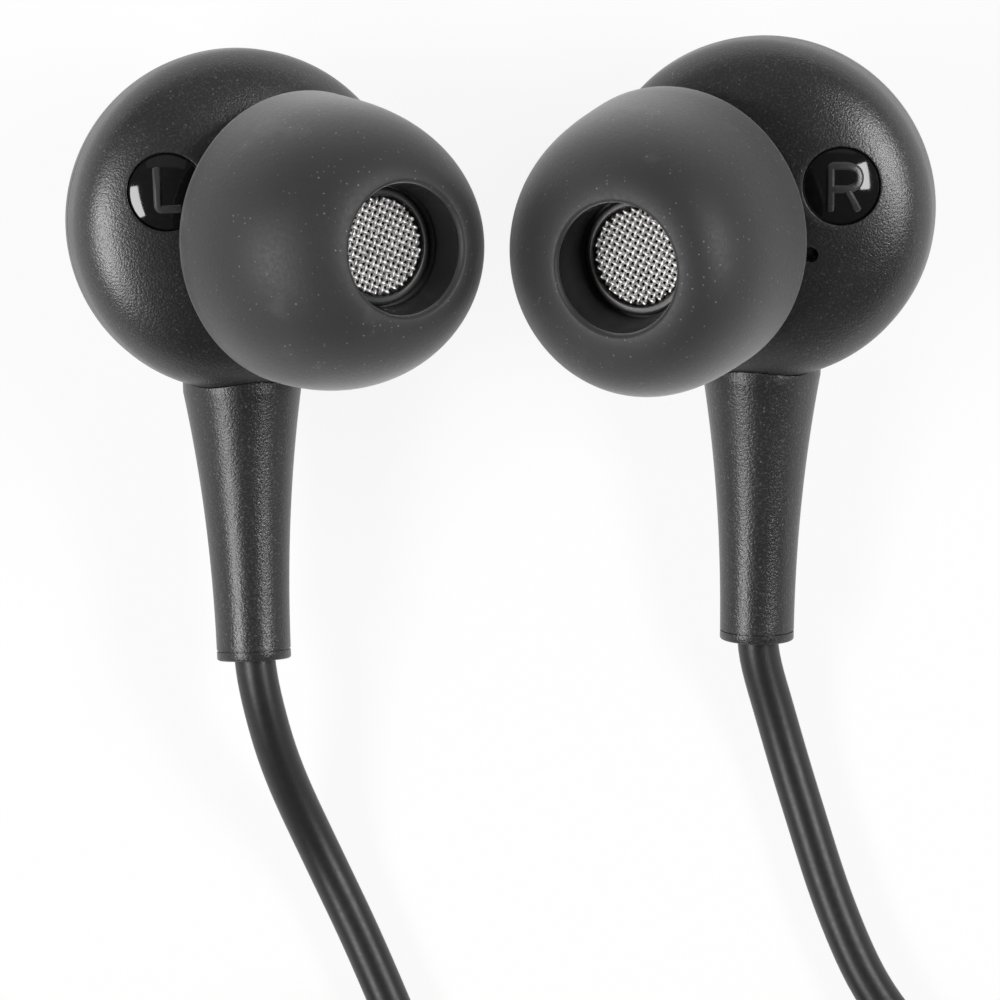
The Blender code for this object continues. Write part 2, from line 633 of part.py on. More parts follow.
def build_tie(name, centre, inner, outer, top, material):
    """A flat strap round the loops of a coil, between these radii and under this height."""
    low = (inner - TIE_SLACK, TIE_THICKNESS)
    high = (outer + TIE_SLACK, top + TIE_SLACK)
    corner = TIE_SLACK + TIE_THICKNESS
    shape = bmesh.new()
    loops = []
    for grow, along in ((TIE_THICKNESS, 0.5), (TIE_THICKNESS, -0.5), (0.0, -0.5), (0.0, 0.5)):
        spots = []
        for sign_x, sign_z in ((1, 1), (-1, 1), (-1, -1), (1, -1)):
            across = high[0] + grow if sign_x > 0 else low[0] - grow
            up = high[1] + grow if sign_z > 0 else low[1] - grow
            first, second = (across - sign_x * corner, up), (across, up - sign_z * corner)
            spots.extend((second, first) if sign_x * sign_z > 0 else (first, second))
        loops.append([shape.verts.new((x, along * TIE_BREADTH, z)) for x, z in spots])
    for near, far in zip(loops, [*loops[1:], loops[0]]):
        for i in range(len(near)):
            j = (i + 1) % len(near)
            shape.faces.new((near[i], near[j], far[j], far[i]))
    bmesh.ops.recalc_face_normals(shape, faces=shape.faces)
    mesh = bpy.data.meshes.new(name)
    shape.to_mesh(mesh)
    shape.free()
    place = Matrix.Translation((*centre, 0.0)) @ Matrix.Rotation(TIE_ANGLE, 4, "Z")
    add_object(name, mesh, material, place=place)


def build_coil(name, centre, first_angle, way, turns, middle_radius, spare, diameter, materials):
    """A coil with its tie. Returns where its two ends face, as points just clear of them."""
    pitch = diameter + spare
    points = coil_points(centre, first_angle, way, turns, middle_radius, pitch, COIL_LIFT, diameter)
    tube(name, points, diameter, COIL_SIDES, materials["cord"])
    print_least_gap(name, points, diameter)
    half = (pitch * turns + diameter) / 2
    top = COIL_LIFT + diameter + pitch
    build_tie(name + "_tie", centre, middle_radius - half, middle_radius + half, top, materials["tie"])
    gap_in = (points[0] - points[1]).normalized() * CORD_END_GAP
    gap_out = (points[-1] - points[-2]).normalized() * CORD_END_GAP
    return points[0] + gap_in, points[-1] + gap_out


def build_ear_cord(name, stem, materials):
    """The cord from inside the stem to its coil, the coil, and the short run on to the Y splitter."""
    centre = EAR_COIL_CENTRES[name]
    entry, leave = build_coil(name + "_cord_coil", centre, 0.0, -1, EAR_COIL_TURNS[name],
                              EAR_COIL_MIDDLE_RADIUS, COIL_SPARE_EAR, EAR_CORD_DIAMETER, materials)
    first = spigot_start() + CORD_INSET
    last = stem_end()
    depths = (first, (first + last) / 2, last, last + EAR_CORD_STRAIGHT)
    route = [*(stem @ Vector((0.0, 0.0, -depth)) for depth in depths), *EAR_ROUTES[name], entry]
    spacing = POINT_SPACING * EAR_CORD_DIAMETER
    tube(name + "_cord", smooth_route(route, spacing), EAR_CORD_DIAMETER, CORD_SIDES, materials["cord"])
    side = -EARPIECES[name]["side"]
    inlet = (side * SPLITTER_INLET_SPACING / 2, SPLITTER_TOP + CORD_END_GAP, SPLITTER_HEIGHT / 2)
    tail = [leave, *EAR_TAILS[name], inlet]
    tube(name + "_cord_tail", smooth_route(tail, spacing), EAR_CORD_DIAMETER, CORD_SIDES, materials["cord"])


def build_splitter(materials):
    mesh = bpy.data.meshes.new("y_splitter")
    shape = bmesh.new()
    size = Matrix.Diagonal((1.0, SPLITTER_LENGTH, SPLITTER_HEIGHT, 1.0))
    bmesh.ops.create_cube(shape, size=1.0, matrix=size)
    for corner in shape.verts:
        corner.co.x *= SPLITTER_WIDTH if corner.co.y > 0 else SPLITTER_OUTLET_WIDTH
    shape.to_mesh(mesh)
    shape.free()
    place = Matrix.Translation((0.0, SPLITTER_TOP - SPLITTER_LENGTH / 2, SPLITTER_HEIGHT / 2))
    splitter = add_object("y_splitter", mesh, materials["shell"], place=place)
    bevel = splitter.modifiers.new("round", "BEVEL")
    bevel.width = SPLITTER_ROUND
    bevel.segments = EDGE_SEGMENTS


def build_main_cord(materials):
    entry, leave = build_coil("main_cord_coil", MAIN_COIL_CENTRE, math.pi / 2, 1, MAIN_COIL_TURNS,
                              MAIN_COIL_MIDDLE_RADIUS, COIL_SPARE_MAIN, MAIN_CORD_DIAMETER, materials)
    outlet = (0.0, SPLITTER_TOP - SPLITTER_LENGTH - CORD_END_GAP, SPLITTER_HEIGHT / 2)
    lead = smooth_route([outlet, *MAIN_ROUTE, entry], LEAD_SPACING * MAIN_CORD_DIAMETER)
    tube("main_cord", lead, MAIN_CORD_DIAMETER, CORD_SIDES, materials["cord"])
    foot = (*PLUG_FOOT, GRIP_RADIUS)
    end = (foot[0], foot[1] - CORD_END_GAP, foot[2])
    tail = smooth_route([leave, *MAIN_TAIL, end], POINT_SPACING * MAIN_CORD_DIAMETER)
    tube("main_cord_tail", tail, MAIN_CORD_DIAMETER, CORD_SIDES, materials["cord"])


def build_plug(materials):
    """The plug lies beside the main coil, its pin towards +Y. Heights are along the plug, from its foot."""
    place = axis_frame((*PLUG_FOOT, GRIP_RADIUS), (0.0, 1.0, 0.0))
    relief_foot = MAIN_CORD_DIAMETER / 2 + FIT
    relief = [(0.0, RELIEF_LENGTH), (RELIEF_RADIUS, RELIEF_LENGTH), (relief_foot, 0.0), (0.0, 0.0)]
    turned("plug_relief", relief, SMALL_STEPS, materials["rubber"], place=place)
    grip_foot = RELIEF_LENGTH + CONTACT_GAP
    grip_top = grip_foot + GRIP_LENGTH
    face = GRIP_RADIUS - GRIP_EDGE
    socket = PIN_RADIUS + FIT
    seat = grip_top - PIN_SEAT
    grip = [(0.0, seat), (socket, seat), (socket, grip_top), (face, grip_top),
            (GRIP_RADIUS, grip_top - GRIP_EDGE), (GRIP_RADIUS, grip_foot + GRIP_EDGE), (face, grip_foot),
            (0.0, grip_foot)]
    turned("plug_grip", grip, STEM_STEPS, materials["shell"], place=place)
    foot = seat + CONTACT_GAP
    stack = [("plug_sleeve", PIN_SEAT + SLEEVE_LENGTH, "chrome"),
             ("plug_rear_insulator", INSULATOR_LENGTH, "rubber"), ("plug_ring", RING_LENGTH, "chrome"),
             ("plug_front_insulator", INSULATOR_LENGTH, "rubber")]
    for name, length, finish in stack:
        rod(name, PIN_RADIUS, foot + length, foot, SMALL_STEPS, materials[finish], place=place)
        foot += length + CONTACT_GAP
    top = foot + POINT_LENGTH
    contact = [(0.0, top), (POINT_END_RADIUS, top), (POINT_BULGE_RADIUS, foot + POINT_BULGE),
               (POINT_NECK_RADIUS, foot + POINT_NECK), (PIN_RADIUS, foot + POINT_COLLAR), (PIN_RADIUS, foot),
               (0.0, foot)]
    turned("plug_tip", contact, SMALL_STEPS, materials["chrome"], place=place)


def main():
    clear_scene()
    materials = {
        "shell": make_material("satin_shell", (0.045, 0.045, 0.047), 0.42),
        "stem": make_material("grained_stem", (0.05, 0.05, 0.052), 0.5),
        "mark": make_material("gloss_mark", (0.012, 0.012, 0.013), 0.12),
        "silicone": make_material("tip_silicone", (0.075, 0.075, 0.078), 0.6),
        "nozzle": make_material("nozzle_plastic", (0.07, 0.07, 0.072), 0.4),
        "steel": make_material("steel", (0.62, 0.62, 0.63), 0.3, 1.0),
        "rubber": make_material("soft_rubber", (0.02, 0.02, 0.021), 0.6),
        "cord": make_material("cord_jacket", (0.04, 0.04, 0.042), 0.45),
        "frame": make_material("driver_plastic", (0.02, 0.02, 0.02), 0.5),
        "magnet": make_material("magnet_nickel", (0.5, 0.49, 0.46), 0.25, 1.0),
        "copper": make_material("coil_copper", (0.72, 0.36, 0.2), 0.35, 1.0),
        "film": make_material("diaphragm_film", (0.5, 0.45, 0.35), 0.3),
        "board": make_material("solder_board", (0.03, 0.16, 0.06), 0.5),
        "brass": make_material("crimp_brass", (0.7, 0.55, 0.25), 0.35, 1.0),
        "chrome": make_material("plug_plating", (0.75, 0.75, 0.75), 0.12, 1.0),
        "tie": make_material("tie_strap", (0.025, 0.025, 0.026), 0.6),
    }
    for name, lie in EARPIECES.items():
        build_ear_cord(name, build_earpiece(name, lie, materials), materials)
    build_splitter(materials)
    build_main_cord(materials)
    build_plug(materials)


main()
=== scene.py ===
import json
import math

import bmesh
import bpy
import numpy as np
from mathutils import Matrix, Vector


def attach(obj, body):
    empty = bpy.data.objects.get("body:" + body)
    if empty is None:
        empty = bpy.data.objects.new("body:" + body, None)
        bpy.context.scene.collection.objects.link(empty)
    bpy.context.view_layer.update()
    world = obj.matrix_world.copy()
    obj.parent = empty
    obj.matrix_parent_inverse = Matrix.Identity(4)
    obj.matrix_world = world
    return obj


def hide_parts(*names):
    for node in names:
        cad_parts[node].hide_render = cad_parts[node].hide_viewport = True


# Wired in-ear earphones, tips up on a white table. Lengths in metres, +Z up
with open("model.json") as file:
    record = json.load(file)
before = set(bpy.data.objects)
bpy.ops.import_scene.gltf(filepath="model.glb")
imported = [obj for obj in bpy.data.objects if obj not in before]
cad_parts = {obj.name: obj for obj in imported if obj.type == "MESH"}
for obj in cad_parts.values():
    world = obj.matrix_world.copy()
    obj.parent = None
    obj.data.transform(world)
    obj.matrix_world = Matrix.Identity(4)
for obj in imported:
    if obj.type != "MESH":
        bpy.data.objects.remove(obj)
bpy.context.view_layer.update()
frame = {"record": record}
joints = {joint["name"]: joint for joint in frame["record"]["behaviour"]["joints"]}
mainBody = "earphones"


# Mesh helpers
mergeDistance = 1e-7
cornerShare = 0.45  # the most of a side that a soft corner takes


def placed(points, place):
    # Points turned and moved by a 4 by 4 matrix
    matrix = np.array(place)
    return points @ matrix[:3, :3].T + matrix[:3, 3]


def unit(vectors):
    return vectors / np.linalg.norm(vectors, axis=-1, keepdims=True)


def ringAngles(count):
    return np.linspace(0, 2 * np.pi, count, endpoint=False)


def turnAbout(degrees, axis="Z"):
    return Matrix.Rotation(math.radians(degrees), 4, axis)


def addObject(name, data):
    thing = bpy.data.objects.new(name, data)
    bpy.context.scene.collection.objects.link(thing)
    return thing


def shadeSmooth(mesh, sharpDegrees=38.0):
    mesh.shade_smooth()
    mesh.set_sharp_from_angle(angle=math.radians(sharpDegrees))


def addMesh(name, grids, sharpDegrees=38.0, loop=False):
    # Each grid is rows by columns of points, closed round its columns, and from last row to first if a loop
    corners = []
    quads = []
    start = 0
    for points in grids:
        rows, columns = points.shape[:2]
        index = np.arange(rows * columns).reshape(rows, columns) + start
        index = np.hstack([index, index[:, :1]])
        if loop:
            index = np.vstack([index, index[:1]])
        cells = (index[:-1, :-1], index[1:, :-1], index[1:, 1:], index[:-1, 1:])
        quads.append(np.stack(cells, axis=-1).reshape(-1, 4))
        corners.append(points.reshape(-1, 3))
        start += rows * columns
    mesh = bpy.data.meshes.new(name)
    mesh.from_pydata(np.concatenate(corners).tolist(), [], np.concatenate(quads).tolist())
    shape = bmesh.new()
    shape.from_mesh(mesh)
    bmesh.ops.remove_doubles(shape, verts=shape.verts, dist=mergeDistance)
    bmesh.ops.recalc_face_normals(shape, faces=shape.faces)
    shape.to_mesh(mesh)
    shape.free()
    shadeSmooth(mesh, sharpDegrees)
    return addObject(name, mesh)


def coat(piece, finish):
    piece.data.materials.clear()
    piece.data.materials.append(finishes[finish])


def finishPiece(piece, finish, nodes, body=mainBody):
    # Coats the piece with its finish, ties it to its body and hides the imported nodes it stands for
    coat(piece, finish)
    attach(piece, body)
    if nodes:
        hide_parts(*nodes)
    return piece


def cutAway(piece, cutters):
    for cutter in cutters:
        cut = piece.modifiers.new("cut", "BOOLEAN")
        cut.operation = "DIFFERENCE"
        cut.solver = "EXACT"
        cut.object = cutter
    graph = bpy.context.evaluated_depsgraph_get()
    mesh = bpy.data.meshes.new_from_object(piece.evaluated_get(graph))
    piece.modifiers.clear()
    piece.data = mesh
    shadeSmooth(mesh)


def axisFrame(origin, direction):
    # Frame at the origin point with its Z along the direction
    turn = Vector(direction).normalized().to_track_quat("Z", "Y").to_matrix().to_4x4()
    return Matrix.Translation(origin) @ turn


def lathe(profile, steps):
    # Turned surface: radius and height of each profile point, swept round the local Z axis
    profile = np.asarray(profile, dtype=float)
    angle = ringAngles(steps)
    radius = profile[:, :1]
    height = np.broadcast_to(profile[:, 1:], (len(profile), steps))
    return np.stack([radius * np.cos(angle), radius * np.sin(angle), height], axis=-1)


def softCorners(points, radius, count=4, loop=False):
    # Each corner becomes a short parabola that starts and ends at most radius away from it
    points = np.asarray(points, dtype=float)
    radius = np.broadcast_to(np.asarray(radius, dtype=float), (len(points),))
    share = np.linspace(0, 1, count)[:, None]
    rounded = []
    for i, corner in enumerate(points):
        if not loop and i in (0, len(points) - 1):
            rounded.append(corner[None])
            continue
        back = points[i - 1] - corner
        ahead = points[(i + 1) % len(points)] - corner
        backLength, aheadLength = np.linalg.norm(back), np.linalg.norm(ahead)
        reach = min(radius[i], cornerShare * backLength, cornerShare * aheadLength)
        first = corner + back / backLength * reach
        last = corner + ahead / aheadLength * reach
        rounded.append((1 - share) ** 2 * first + 2 * share * (1 - share) * corner + share ** 2 * last)
    return np.concatenate(rounded)


def ovalArc(radius, height, power, count):
    # Quarter superellipse from the axis at the top to the rim at height 0
    angle = np.linspace(np.pi / 2, 0, count + 1)
    across = radius * np.clip(np.cos(angle), 0, 1) ** (2 / power)
    up = height * np.clip(np.sin(angle), 0, 1) ** (2 / power)
    across[0] = 0.0
    up[-1] = 0.0
    return np.stack([across, up], axis=-1)


def travelled(path):
    # Distance along a path to each of its points
    return np.concatenate([[0], np.cumsum(np.linalg.norm(np.diff(path, axis=0), axis=1))])


def pointsAt(path, length, spots):
    # Points of a path at given distances along it
    return np.column_stack([np.interp(spots, length, column) for column in path.T])


def turnedPiece(name, profile, steps, place, loop=False):
    return addMesh(name, [placed(lathe(profile, steps), place)], loop=loop)


def rodCutter(name, radius, top, bottom, steps, place):
    return turnedPiece(name, [(0, top), (radius, top), (radius, bottom), (0, bottom)], steps, place)


def tubeGrid(path, radius, sides):
    # Round tube: rings of points square to the path, closed to a point at each end
    tangent = unit(np.gradient(path, axis=0))
    across = unit(np.cross(tangent, [0.0, 0.0, 1.0]))
    upward = np.cross(across, tangent)
    rows = np.concatenate([[0], np.arange(len(path)), [len(path) - 1]])
    size = np.full((len(rows), 1, 1), radius)
    size[[0, -1]] = 0.0
    angle = ringAngles(sides)[None, :, None]
    ring = np.cos(angle) * across[rows][:, None] + np.sin(angle) * upward[rows][:, None]
    return path[rows][:, None] + size * ring


# Node helpers
noiseSpread = (0.3, 0.7)  # where most of a noise texture's values lie
grainNoise = (2.0, 0.55)  # detail and roughness of the finer noises
skinNoise = (3.0, 0.6)
scratchNoise = (4.0, 0.7)
toneStops = (0.0, 0.45, 1.0)  # places of the dark, middle and light grey on a tone ramp
grainTones = (0.25, 0.6)  # stretch of the ramp that the grain covers
cloudTones = (0.2, 0.5)
paintedGlintSize = 0.42  # a painted glint's radius, as a share of its cell


def newMaterial(name):
    material = bpy.data.materials.new(name)
    material.use_nodes = True
    tree = material.node_tree
    coords = tree.nodes.new("ShaderNodeTexCoord")
    return material, tree, tree.nodes["Principled BSDF"], coords.outputs["Object"]


def setInputs(node, values):
    for key, value in values.items():
        node.inputs[key].default_value = value


def addNoise(tree, vector, scale, detail=2.0, roughness=0.5):
    node = tree.nodes.new("ShaderNodeTexNoise")
    setInputs(node, {"Scale": scale, "Detail": detail, "Roughness": roughness})
    tree.links.new(vector, node.inputs["Vector"])
    return node.outputs["Fac"]


def addRange(tree, value, *limits):
    node = tree.nodes.new("ShaderNodeMapRange")
    setInputs(node, dict(zip(("From Min", "From Max", "To Min", "To Max"), limits)))
    tree.links.new(value, node.inputs["Value"])
    return node.outputs["Result"]


def addSpecks(tree, vector, scale, size, share):
    # Round spots in a share of the Voronoi cells: full at the middle of a cell, nothing from size outwards
    node = tree.nodes.new("ShaderNodeTexVoronoi")
    setInputs(node, {"Scale": scale})
    tree.links.new(vector, node.inputs["Vector"])
    spots = addRange(tree, node.outputs["Distance"], size, 0.0, 0.0, 1.0)
    split = tree.nodes.new("ShaderNodeSeparateColor")
    tree.links.new(node.outputs["Color"], split.inputs["Color"])
    chosen = addRange(tree, split.outputs["Red"], 1 - share, 1.0, 0.0, 1.0)
    return addMath(tree, "MULTIPLY", spots, chosen)


def addRamp(tree, value, stops):
    node = tree.nodes.new("ShaderNodeValToRGB")
    ramp = node.color_ramp
    while len(ramp.elements) < len(stops):
        ramp.elements.new(0.5)
    for element, (position, colour) in zip(ramp.elements, stops):
        element.position = position
        element.color = (*colour, 1.0)
    tree.links.new(value, node.inputs["Fac"])
    return node.outputs["Color"]


def addMath(tree, operation, first, second):
    node = tree.nodes.new("ShaderNodeMath")
    node.operation = operation
    for socket, value in zip(node.inputs, (first, second)):
        if isinstance(value, (int, float)):
            socket.default_value = value
        else:
            tree.links.new(value, socket)
    return node.outputs["Value"]


def addBump(tree, shader, height, distance):
    node = tree.nodes.new("ShaderNodeBump")
    setInputs(node, {"Distance": distance})
    tree.links.new(height, node.inputs["Height"])
    tree.links.new(node.outputs["Normal"], shader.inputs["Normal"])


def addTones(tree, shader, tone, tones):
    stops = [(place, (level, level, level)) for place, level in zip(toneStops, tones)]
    tree.links.new(addRamp(tree, tone, stops), shader.inputs["Base Color"])


def addRoughness(tree, shader, noise, limits):
    tree.links.new(addRange(tree, noise, *noiseSpread, *limits), shader.inputs["Roughness"])


def mouldedPlastic(name, values):
    # Satin moulded plastic: fine spark-eroded grain, cloudy gloss, and painted glints: lighter specks in the
    # colour that stand in for the sparkle of grains facing the light
    material, tree, shader, coords = newMaterial(name)
    grain = addNoise(tree, coords, values["grainScale"], *grainNoise)
    cloud = addNoise(tree, coords, values["cloudScale"])
    # Painted highlight: the glints are lighter specks in the base colour, the same under any light
    paintedGlints = addSpecks(tree, coords, values["paintedGlintScale"], paintedGlintSize, values["paintedGlintShare"])
    tone = addMath(tree, "ADD", addRange(tree, grain, *noiseSpread, *grainTones), paintedGlints)
    addTones(tree, shader, tone, values["tones"])
    addRoughness(tree, shader, cloud, values["roughness"])
    setInputs(shader, {"Specular IOR Level": values["specular"]})
    addBump(tree, shader, grain, values["grainDepth"])
    return material


def softRubber(name, values):
    # Matte rubber or silicone: faint cloudy tone, fine skin, dust specks and a soft sheen at grazing angles
    material, tree, shader, coords = newMaterial(name)
    skin = addNoise(tree, coords, values["skinScale"], *skinNoise)
    cloud = addNoise(tree, coords, values["cloudScale"])
    dust = addSpecks(tree, coords, values["dustScale"], values["dustSize"], values["dustShare"])
    tone = addMath(tree, "ADD", addRange(tree, cloud, *noiseSpread, *cloudTones), dust)
    addTones(tree, shader, tone, values["tones"])
    addRoughness(tree, shader, skin, values["roughness"])
    setInputs(shader, {"Specular IOR Level": values["specular"], "Sheen Weight": values["sheen"],
                       "Sheen Roughness": values["sheenSpread"]})
    addBump(tree, shader, skin, values["skinDepth"])
    return material


def turnedMetal(name, values):
    # Plated or drawn metal: fine scratches and a slightly clouded polish
    material, tree, shader, coords = newMaterial(name)
    scratch = addNoise(tree, coords, values["scratchScale"], *scratchNoise)
    cloud = addNoise(tree, coords, values["cloudScale"])
    stops = list(zip(noiseSpread, (values["shade"], values["colour"])))
    tree.links.new(addRamp(tree, cloud, stops), shader.inputs["Base Color"])
    setInputs(shader, {"Metallic": 1.0})
    addRoughness(tree, shader, scratch, values["roughness"])
    addBump(tree, shader, scratch, values["scratchDepth"])
    return material


# Finishes. The plain sets hold what most plastics or rubbers share
# The glint values set painted highlights: lighter specks in the plastics' colour
plainPlastic = {"cloudScale": 500.0, "paintedGlintScale": 9000.0, "paintedGlintShare": 0.05, "specular": 0.5,
                "grainDepth": 0.000003}
plainRubber = {"skinScale": 5200.0, "cloudScale": 260.0, "dustScale": 2300.0, "dustSize": 0.12,
               "dustShare": 0.03, "specular": 0.4, "sheen": 0.05, "sheenSpread": 0.5, "skinDepth": 0.000005}
finishes = {
    "shell": mouldedPlastic("satinShell", {
        "grainScale": 10500.0, "cloudScale": 350.0, "paintedGlintScale": 8000.0, "paintedGlintShare": 0.18, "specular": 1.0,
        "tones": (0.008, 0.012, 0.10), "roughness": (0.32, 0.38), "grainDepth": 0.000019}),
    "stem": mouldedPlastic("grainedStem", {
        "grainScale": 10000.0, "cloudScale": 350.0, "paintedGlintScale": 7500.0, "paintedGlintShare": 0.20,
        "specular": 0.65, "tones": (0.012, 0.018, 0.12), "roughness": (0.31, 0.37), "grainDepth": 0.000020}),
    "nozzle": mouldedPlastic("nozzlePlastic", {
        **plainPlastic, "grainScale": 9000.0, "tones": (0.022, 0.030, 0.06), "roughness": (0.28, 0.36)}),
    "mark": mouldedPlastic("glossMark", {
        **plainPlastic, "grainScale": 4000.0, "cloudScale": 600.0, "paintedGlintScale": 6000.0, "paintedGlintShare": 0.02,
        "tones": (0.006, 0.008, 0.016), "roughness": (0.06, 0.10), "grainDepth": 0.0000006}),
    "letter": mouldedPlastic("letterGrey", {
        **plainPlastic, "grainScale": 9000.0, "cloudScale": 900.0, "tones": (0.035, 0.045, 0.08),
        "roughness": (0.24, 0.32), "grainDepth": 0.000002}),
    "silicone": softRubber("tipSilicone", {
        "skinScale": 6000.0, "cloudScale": 420.0, "dustScale": 4300.0, "dustSize": 0.22, "dustShare": 0.60,
        "tones": (0.020, 0.026, 0.19), "roughness": (0.48, 0.58), "specular": 0.42,
        "sheen": 0.42, "sheenSpread": 0.45, "skinDepth": 0.000010}),
    # Bore lining: a smoother skin whose near-black tones are painted shade for the inside of the tip's bore
    "bore": softRubber("boreLiningPaintedShade", {
        **plainRubber, "skinScale": 7000.0, "cloudScale": 600.0, "dustScale": 2600.0, "dustSize": 0.10,
        "tones": (0.004, 0.006, 0.04), "roughness": (0.36, 0.44), "specular": 0.25, "sheen": 0.0,
        "skinDepth": 0.000002}),
    "cord": softRubber("cordJacket", {
        **plainRubber, "tones": (0.010, 0.014, 0.06), "roughness": (0.36, 0.45), "specular": 0.45,
        "sheen": 0.03, "skinDepth": 0.000004}),
    "rubber": softRubber("softRubber", {
        **plainRubber, "tones": (0.014, 0.018, 0.06), "roughness": (0.50, 0.60)}),
    "tie": softRubber("tieStrap", {
        **plainRubber, "skinScale": 4200.0, "cloudScale": 300.0, "dustScale": 2100.0, "dustShare": 0.05,
        "tones": (0.018, 0.024, 0.07), "roughness": (0.55, 0.66), "sheen": 0.06, "skinDepth": 0.000006}),
    "steel": turnedMetal("wireSteel", {
        "scratchScale": 7000.0, "cloudScale": 900.0, "scratchDepth": 0.0000015,
        "shade": (0.84, 0.825, 0.815), "colour": (0.95, 0.935, 0.925), "roughness": (0.36, 0.48)}),
    "chrome": turnedMetal("plugPlating", {
        "scratchScale": 5000.0, "cloudScale": 260.0, "scratchDepth": 0.0000008,
        "shade": (0.70, 0.69, 0.67), "colour": (0.82, 0.81, 0.79), "roughness": (0.10, 0.18)}),
    "brass": turnedMetal("crimpBrass", {
        "scratchScale": 4200.0, "cloudScale": 600.0, "scratchDepth": 0.000002,
        "shade": (0.52, 0.38, 0.16), "colour": (0.72, 0.56, 0.26), "roughness": (0.28, 0.42)}),
    "magnet": turnedMetal("magnetNickel", {
        "scratchScale": 3600.0, "cloudScale": 500.0, "scratchDepth": 0.0000015,
        "shade": (0.40, 0.39, 0.36), "colour": (0.56, 0.55, 0.51), "roughness": (0.20, 0.34)}),
    "copper": turnedMetal("coilCopper", {
        "scratchScale": 5200.0, "cloudScale": 900.0, "scratchDepth": 0.000003,
        "shade": (0.55, 0.24, 0.12), "colour": (0.76, 0.40, 0.23), "roughness": (0.30, 0.45)}),
    "frame": mouldedPlastic("driverPlastic", {
        **plainPlastic, "grainScale": 7000.0, "paintedGlintScale": 7000.0, "tones": (0.012, 0.018, 0.05),
        "roughness": (0.42, 0.52), "grainDepth": 0.000004}),
    "film": mouldedPlastic("diaphragmFilm", {
        **plainPlastic, "grainScale": 3000.0, "cloudScale": 400.0, "paintedGlintScale": 5000.0, "paintedGlintShare": 0.03,
        "tones": (0.30, 0.38, 0.5), "roughness": (0.22, 0.30), "grainDepth": 0.000002}),
    "board": mouldedPlastic("solderBoard", {
        **plainPlastic, "grainScale": 5000.0, "cloudScale": 700.0, "paintedGlintScale": 2600.0, "paintedGlintShare": 0.12,
        "tones": (0.02, 0.05, 0.25), "roughness": (0.40, 0.50)}),
}
keptNodes = {
    "driver_frame": "frame", "diaphragm": "film", "voice_coil": "copper", "magnet": "magnet",
    "pole_plate": "steel", "yoke": "steel", "terminal_board": "board", "cable_crimp": "brass",
}
for earName in ("left", "right"):
    for node, finish in keptNodes.items():
        coat(bpy.data.objects[earName + "_" + node], finish)
print("finishes made")

# Shared sizes of the earpieces, in each earpiece's own frame: +Z out of the dome, +Y away from the stem
ears = {
    "left": {"side": 1, "inward": 14.2, "down": 3.9, "roll": 2.5},
    "right": {"side": -1, "inward": 8.8, "down": 9.9, "roll": -0.9},
}
housing = {"radius": 0.00711, "domeHeight": 0.0030, "domePower": 2.3, "skirt": 0.0008, "wall": 0.0009,
           "rearDepth": 0.0065, "rearPower": 1.95, "rearStep": -0.00004, "seam": 0.00009, "edge": 0.00007,
           "edgeMiddle": 0.3, "lipWall": 0.00035, "lipHeight": 0.0008, "fit": 0.00012, "steps": 160}
mark = {"radius": 0.0016, "gap": 0.00002, "pocket": 0.00055, "rise": 0.00022, "crown": 0.00044,
        "edge": 0.00008, "inset": 0.0032, "angle": 158.0, "floorGap": 0.00003, "roll": 0.6,
        "rollStop": 0.98, "steps": 128}
vent = {"radius": 0.00032, "inset": 0.0043, "angle": 210.3, "steps": 40}
nozzle = {"inset": 0.00411, "angle": -19.0, "stand": 0.0013, "lean": 18.5, "radius": 0.00235, "bead": 0.0001,
          "beadLength": 0.0007, "wall": 0.00035, "top": 0.0039, "foot": 0.00311, "seatStep": 0.00008,
          "seatDrop": 0.00018, "edge": 0.00007, "steps": 128, "holeSteps": 96}
stem = {"inward": 0.00012, "back": 0.00123, "length": 0.01124, "root": 0.00246, "end": 0.00154, "power": 2.1,
        "chamfer": 0.00008, "groove": 0.00007, "grooveAt": 0.00040, "bore": 0.00124, "cordBore": 0.00097,
        "mouthDepth": 0.0003, "bushLength": 0.0011, "spigot": 0.00157, "start": 0.00586, "mouthEase": 0.00003,
        "mouthDrop": 0.00004, "shoulderGap": 0.00005, "grooveShare": 0.8, "chamferMiddle": 0.35, "steps": 96,
        "spigotSteps": 48}
bush = {"fit": 0.00003, "grip": 0.00010, "edge": 0.00006, "steps": 64}
# Room round what goes into the shells or against them
cutFit = {"hole": 0.00004, "overrun": 0.0002, "stem": 0.00003}


def domeHeight(radius):
    # Superellipse that falls from the middle of the dome to its rim
    share = np.clip(radius / housing["radius"], 0, 1) ** housing["domePower"]
    return housing["domeHeight"] * (1 - share) ** (1 / housing["domePower"])


def domeFrame(side, inset, degrees):
    # Frame on the dome with its Z along the normal, which the slope between two close points gives
    reach = housing["radius"] - inset
    step = 0.00005
    slope = float(domeHeight(reach + step) - domeHeight(reach - step)) / (2 * step)
    angle = math.radians(degrees)
    outward = Vector((side * math.cos(angle), math.sin(angle), 0.0))
    up = Vector((0.0, 0.0, 1.0))
    return axisFrame(outward * reach + up * float(domeHeight(reach)), up - slope * outward)


def nozzleFrame(side):
    # Frame at the tip's middle, which stands off the dome, with its Z leaning inwards
    reach = housing["radius"] - nozzle["inset"]
    angle, lean = math.radians(nozzle["angle"]), math.radians(nozzle["lean"])
    height = float(domeHeight(reach)) + nozzle["stand"]
    middle = (side * reach * math.cos(angle), reach * math.sin(angle), height)
    return axisFrame(middle, (side * math.sin(lean), 0.0, math.cos(lean)))


def stemFrame(side):
    # Frame behind the dome with its Z away from the stem, so heights along the stem are negative
    return axisFrame((side * stem["inward"], 0.0, -stem["back"]), (0.0, 1.0, 0.0))


